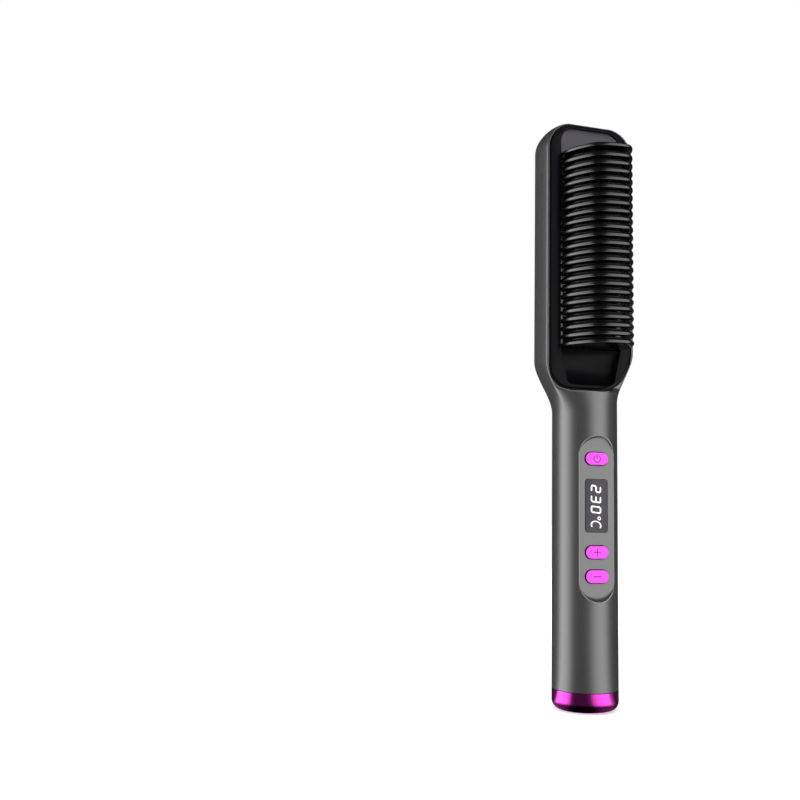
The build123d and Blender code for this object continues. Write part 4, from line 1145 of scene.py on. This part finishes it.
def camera_turn(yaw, pitch, roll):
    """The camera's orientation from its yaw about Z, its pitch upwards and its roll, in degrees."""
    a, p, r = radians(yaw), radians(pitch), radians(roll)
    forward = Vector((-sin(a) * cos(p), cos(a) * cos(p), sin(p)))
    right = Vector((cos(a), sin(a), 0.0))
    up = right.cross(forward)
    turned_right = right * cos(r) + up * sin(r)
    turned_up = up * cos(r) - right * sin(r)
    return Matrix((turned_right, turned_up, -forward)).transposed().to_4x4()


def ray_white(tree):
    """One where the camera, a mirror or glass looks, and nought for plain lighting."""
    ray = node(tree, "ShaderNodeLightPath")
    seen = node(tree, "ShaderNodeMath", {"operation": "MAXIMUM"},
                {0: ray.outputs["Is Camera Ray"], 1: ray.outputs["Is Glossy Ray"]})
    seen = node(tree, "ShaderNodeMath", {"operation": "MAXIMUM"},
                {0: seen.outputs[0], 1: ray.outputs["Is Transmission Ray"]})
    return seen.outputs[0]


def around(azimuth, distance, height):
    """A place round the brush: azimuth 0 is in front of it, and 90 is on its -X side."""
    a = radians(azimuth)
    return Vector((-sin(a) * distance, -cos(a) * distance, height))


def lamp(name, azimuth, distance, height, width, tall, power):
    """An area lamp of so many watts, aimed at the brush from a place in metres; gloss doesn't see it."""
    place = around(azimuth, distance, height)
    bpy.ops.object.light_add(type="AREA", location=place)
    made = bpy.context.object
    made.name = name
    made.data.shape = "RECTANGLE"
    made.data.size, made.data.size_y = width, tall
    made.data.energy = power
    made.rotation_euler = (Vector((0, 0, AIM_HEIGHT)) - place).to_track_quat("-Z", "Y").to_euler()
    made.visible_glossy = False


def grey(level):
    return (level, level, level, 1)


def mirror_tent():
    """A ring of dark and light cards that only mirrors and gloss see.

    The greys run into each other, and the tent has a skirt on the floor.
    """
    steps = 180
    rims = ((0.0115, 0.0004), (0.018, 0.0004), (0.03, 0.0004), (1.2, 0.001), (1.2, 0.8), (1.2, 1.0),
            (0.05, 1.35))
    tent = sheet("mirror_tent", [[tuple(around(360 * k / steps, r, z) / MM) for k in range(steps + 1)]
                                 for r, z in rims])
    material = bpy.data.materials.new("tent_cards")
    material.use_nodes = True
    tree = material.node_tree
    tree.nodes.clear()
    place = node(tree, "ShaderNodeUVMap")
    split = node(tree, "ShaderNodeSeparateXYZ", None, {0: place.outputs["UV"]})
    ramp = node(tree, "ShaderNodeValToRGB", None, {"Fac": split.outputs["X"]})
    stops = ramp.color_ramp.elements
    for azimuth, _ in CARDS[1:-1]:
        stops.new(azimuth / 360)
    for stop, (_, level) in zip(stops, CARDS):
        stop.color = grey(level)
    fade = node(tree, "ShaderNodeValToRGB", None, {"Fac": split.outputs["Y"]})
    heights = fade.color_ramp.elements
    heights[0].color, heights[1].color = grey(0.06), grey(0.05)
    for rim, level in ((1, 0.06), (2, 1.0), (4, 1.0), (5, 0.05)):
        heights.new(rim / (len(rims) - 1)).color = grey(level)
    both = node(tree, "ShaderNodeVectorMath", {"operation": "MULTIPLY"},
                {0: ramp.outputs["Color"], 1: fade.outputs["Color"]})
    glow = node(tree, "ShaderNodeEmission", {"Strength": 2.8}, {"Color": both.outputs["Vector"]})
    node(tree, "ShaderNodeOutputMaterial", None, {"Surface": glow.outputs[0]})
    tent.data.materials.append(material)
    tent.visible_camera = tent.visible_diffuse = tent.visible_shadow = tent.visible_transmission = False


def studio_world(scene):
    """A plain soft light all round that looks white to the camera and to mirrors."""
    world = bpy.data.worlds.new("studio")
    scene.world = world
    world.use_nodes = True
    tree = world.node_tree
    tree.nodes.clear()
    lit = node(tree, "ShaderNodeBackground", {"Color": (1, 1, 1, 1), "Strength": 0.45})
    white = node(tree, "ShaderNodeBackground", {"Color": (1, 1, 1, 1), "Strength": 1.0})
    mixed = node(tree, "ShaderNodeMixShader", None, {0: ray_white(tree), 1: lit.outputs[0],
                                                     2: white.outputs[0]})
    node(tree, "ShaderNodeOutputWorld", None, {"Surface": mixed.outputs[0]})


def paper_floor():
    """A plain pale floor, a little darker round the brush's foot than further out."""
    bpy.ops.mesh.primitive_plane_add(size=8.0, location=(0, 0, 0))
    floor = bpy.context.object
    floor.name = "floor"
    # Matt white paper: it takes the brush's soft shadow and glows towards white with distance.
    material = bpy.data.materials.new("white_paper_sweep")
    material.use_nodes = True
    tree = material.node_tree
    shader = tree.nodes["Principled BSDF"]
    shader.inputs["Base Color"].default_value = grey(0.8)
    shader.inputs["Roughness"].default_value = 0.9
    place = node(tree, "ShaderNodeTexCoord")
    reach = node(tree, "ShaderNodeVectorMath", {"operation": "LENGTH"}, {0: place.outputs["Object"]})
    # Painted shade: the glow is weaker near the brush, so the floor round its foot reads darker.
    level = node(tree, "ShaderNodeMapRange", {"From Min": 0.04, "From Max": 0.3, "To Min": 0.42,
                                              "To Max": 0.75}, {"Value": reach.outputs["Value"]})
    glow = node(tree, "ShaderNodeMath", {"operation": "MULTIPLY"},
                {0: ray_white(tree), 1: level.outputs["Result"]})
    shader.inputs["Emission Color"].default_value = grey(1)
    tree.links.new(glow.outputs[0], shader.inputs["Emission Strength"])
    floor.data.materials.append(material)


class COMB_OT_stage(bpy.types.Operator):
    """Camera, pale floor, soft lamps and the cards that chrome mirrors."""
    bl_idname = "comb.stage"
    bl_label = "Stage"

    def execute(self, context):
        scene = context.scene
        scene.view_settings.view_transform = "Standard"
        bpy.ops.object.camera_add()
        camera = bpy.context.object
        camera.data.sensor_width = 36.0
        camera.data.lens = CAMERA_LENS
        camera.data.clip_start = 0.01
        camera.matrix_world = Matrix.Translation(Vector(CAMERA_PLACE) * MM) @ camera_turn(
            CAMERA_YAW, CAMERA_PITCH, CAMERA_ROLL)
        scene.camera = camera
        studio_world(scene)
        paper_floor()
        lamp("left", azimuth=100, distance=0.8, height=0.3, width=0.3, tall=0.8, power=3)
        lamp("right", azimuth=-33, distance=0.9, height=0.3, width=0.3, tall=0.8, power=3)
        lamp("back_left", azimuth=150, distance=0.9, height=0.3, width=0.4, tall=0.9, power=5)
        lamp("back_right", azimuth=-130, distance=0.9, height=0.3, width=0.4, tall=0.9, power=5)
        lamp("top", azimuth=20, distance=0.25, height=0.95, width=0.7, tall=0.7, power=5)
        mirror_tent()
        return {"FINISHED"}


class COMB_PT_panel(bpy.types.Panel):
    """Lists the pieces and their settings in the sidebar."""
    bl_idname = "COMB_PT_panel"
    bl_label = "Straightening comb"
    bl_space_type = "VIEW_3D"
    bl_region_type = "UI"
    bl_category = "Comb"

    def draw(self, context):
        for group in (context.scene.comb_sizes, context.scene.comb_colours):
            for key in group.__annotations__:
                self.layout.prop(group, key)
        for step in STEPS:
            self.layout.operator(step.bl_idname)


STEPS = (COMB_OT_stage, COMB_OT_inside, COMB_OT_casing, COMB_OT_bezel, COMB_OT_comb, COMB_OT_fins,
         COMB_OT_rear, COMB_OT_cap, COMB_OT_keys, COMB_OT_readout)
CLASSES = (CombSizes, CombColours, *STEPS, COMB_PT_panel)


def register():
    for item in CLASSES:
        bpy.utils.register_class(item)
    bpy.types.Scene.comb_sizes = bpy.props.PointerProperty(type=CombSizes)
    bpy.types.Scene.comb_colours = bpy.props.PointerProperty(type=CombColours)


def unregister():
    del bpy.types.Scene.comb_colours
    del bpy.types.Scene.comb_sizes
    for item in reversed(CLASSES):
        bpy.utils.unregister_class(item)


def main():
    register()
    for step in STEPS:
        group, name = step.bl_idname.split(".")
        getattr(getattr(bpy.ops, group), name)()


if __name__ == "__main__":
    main()
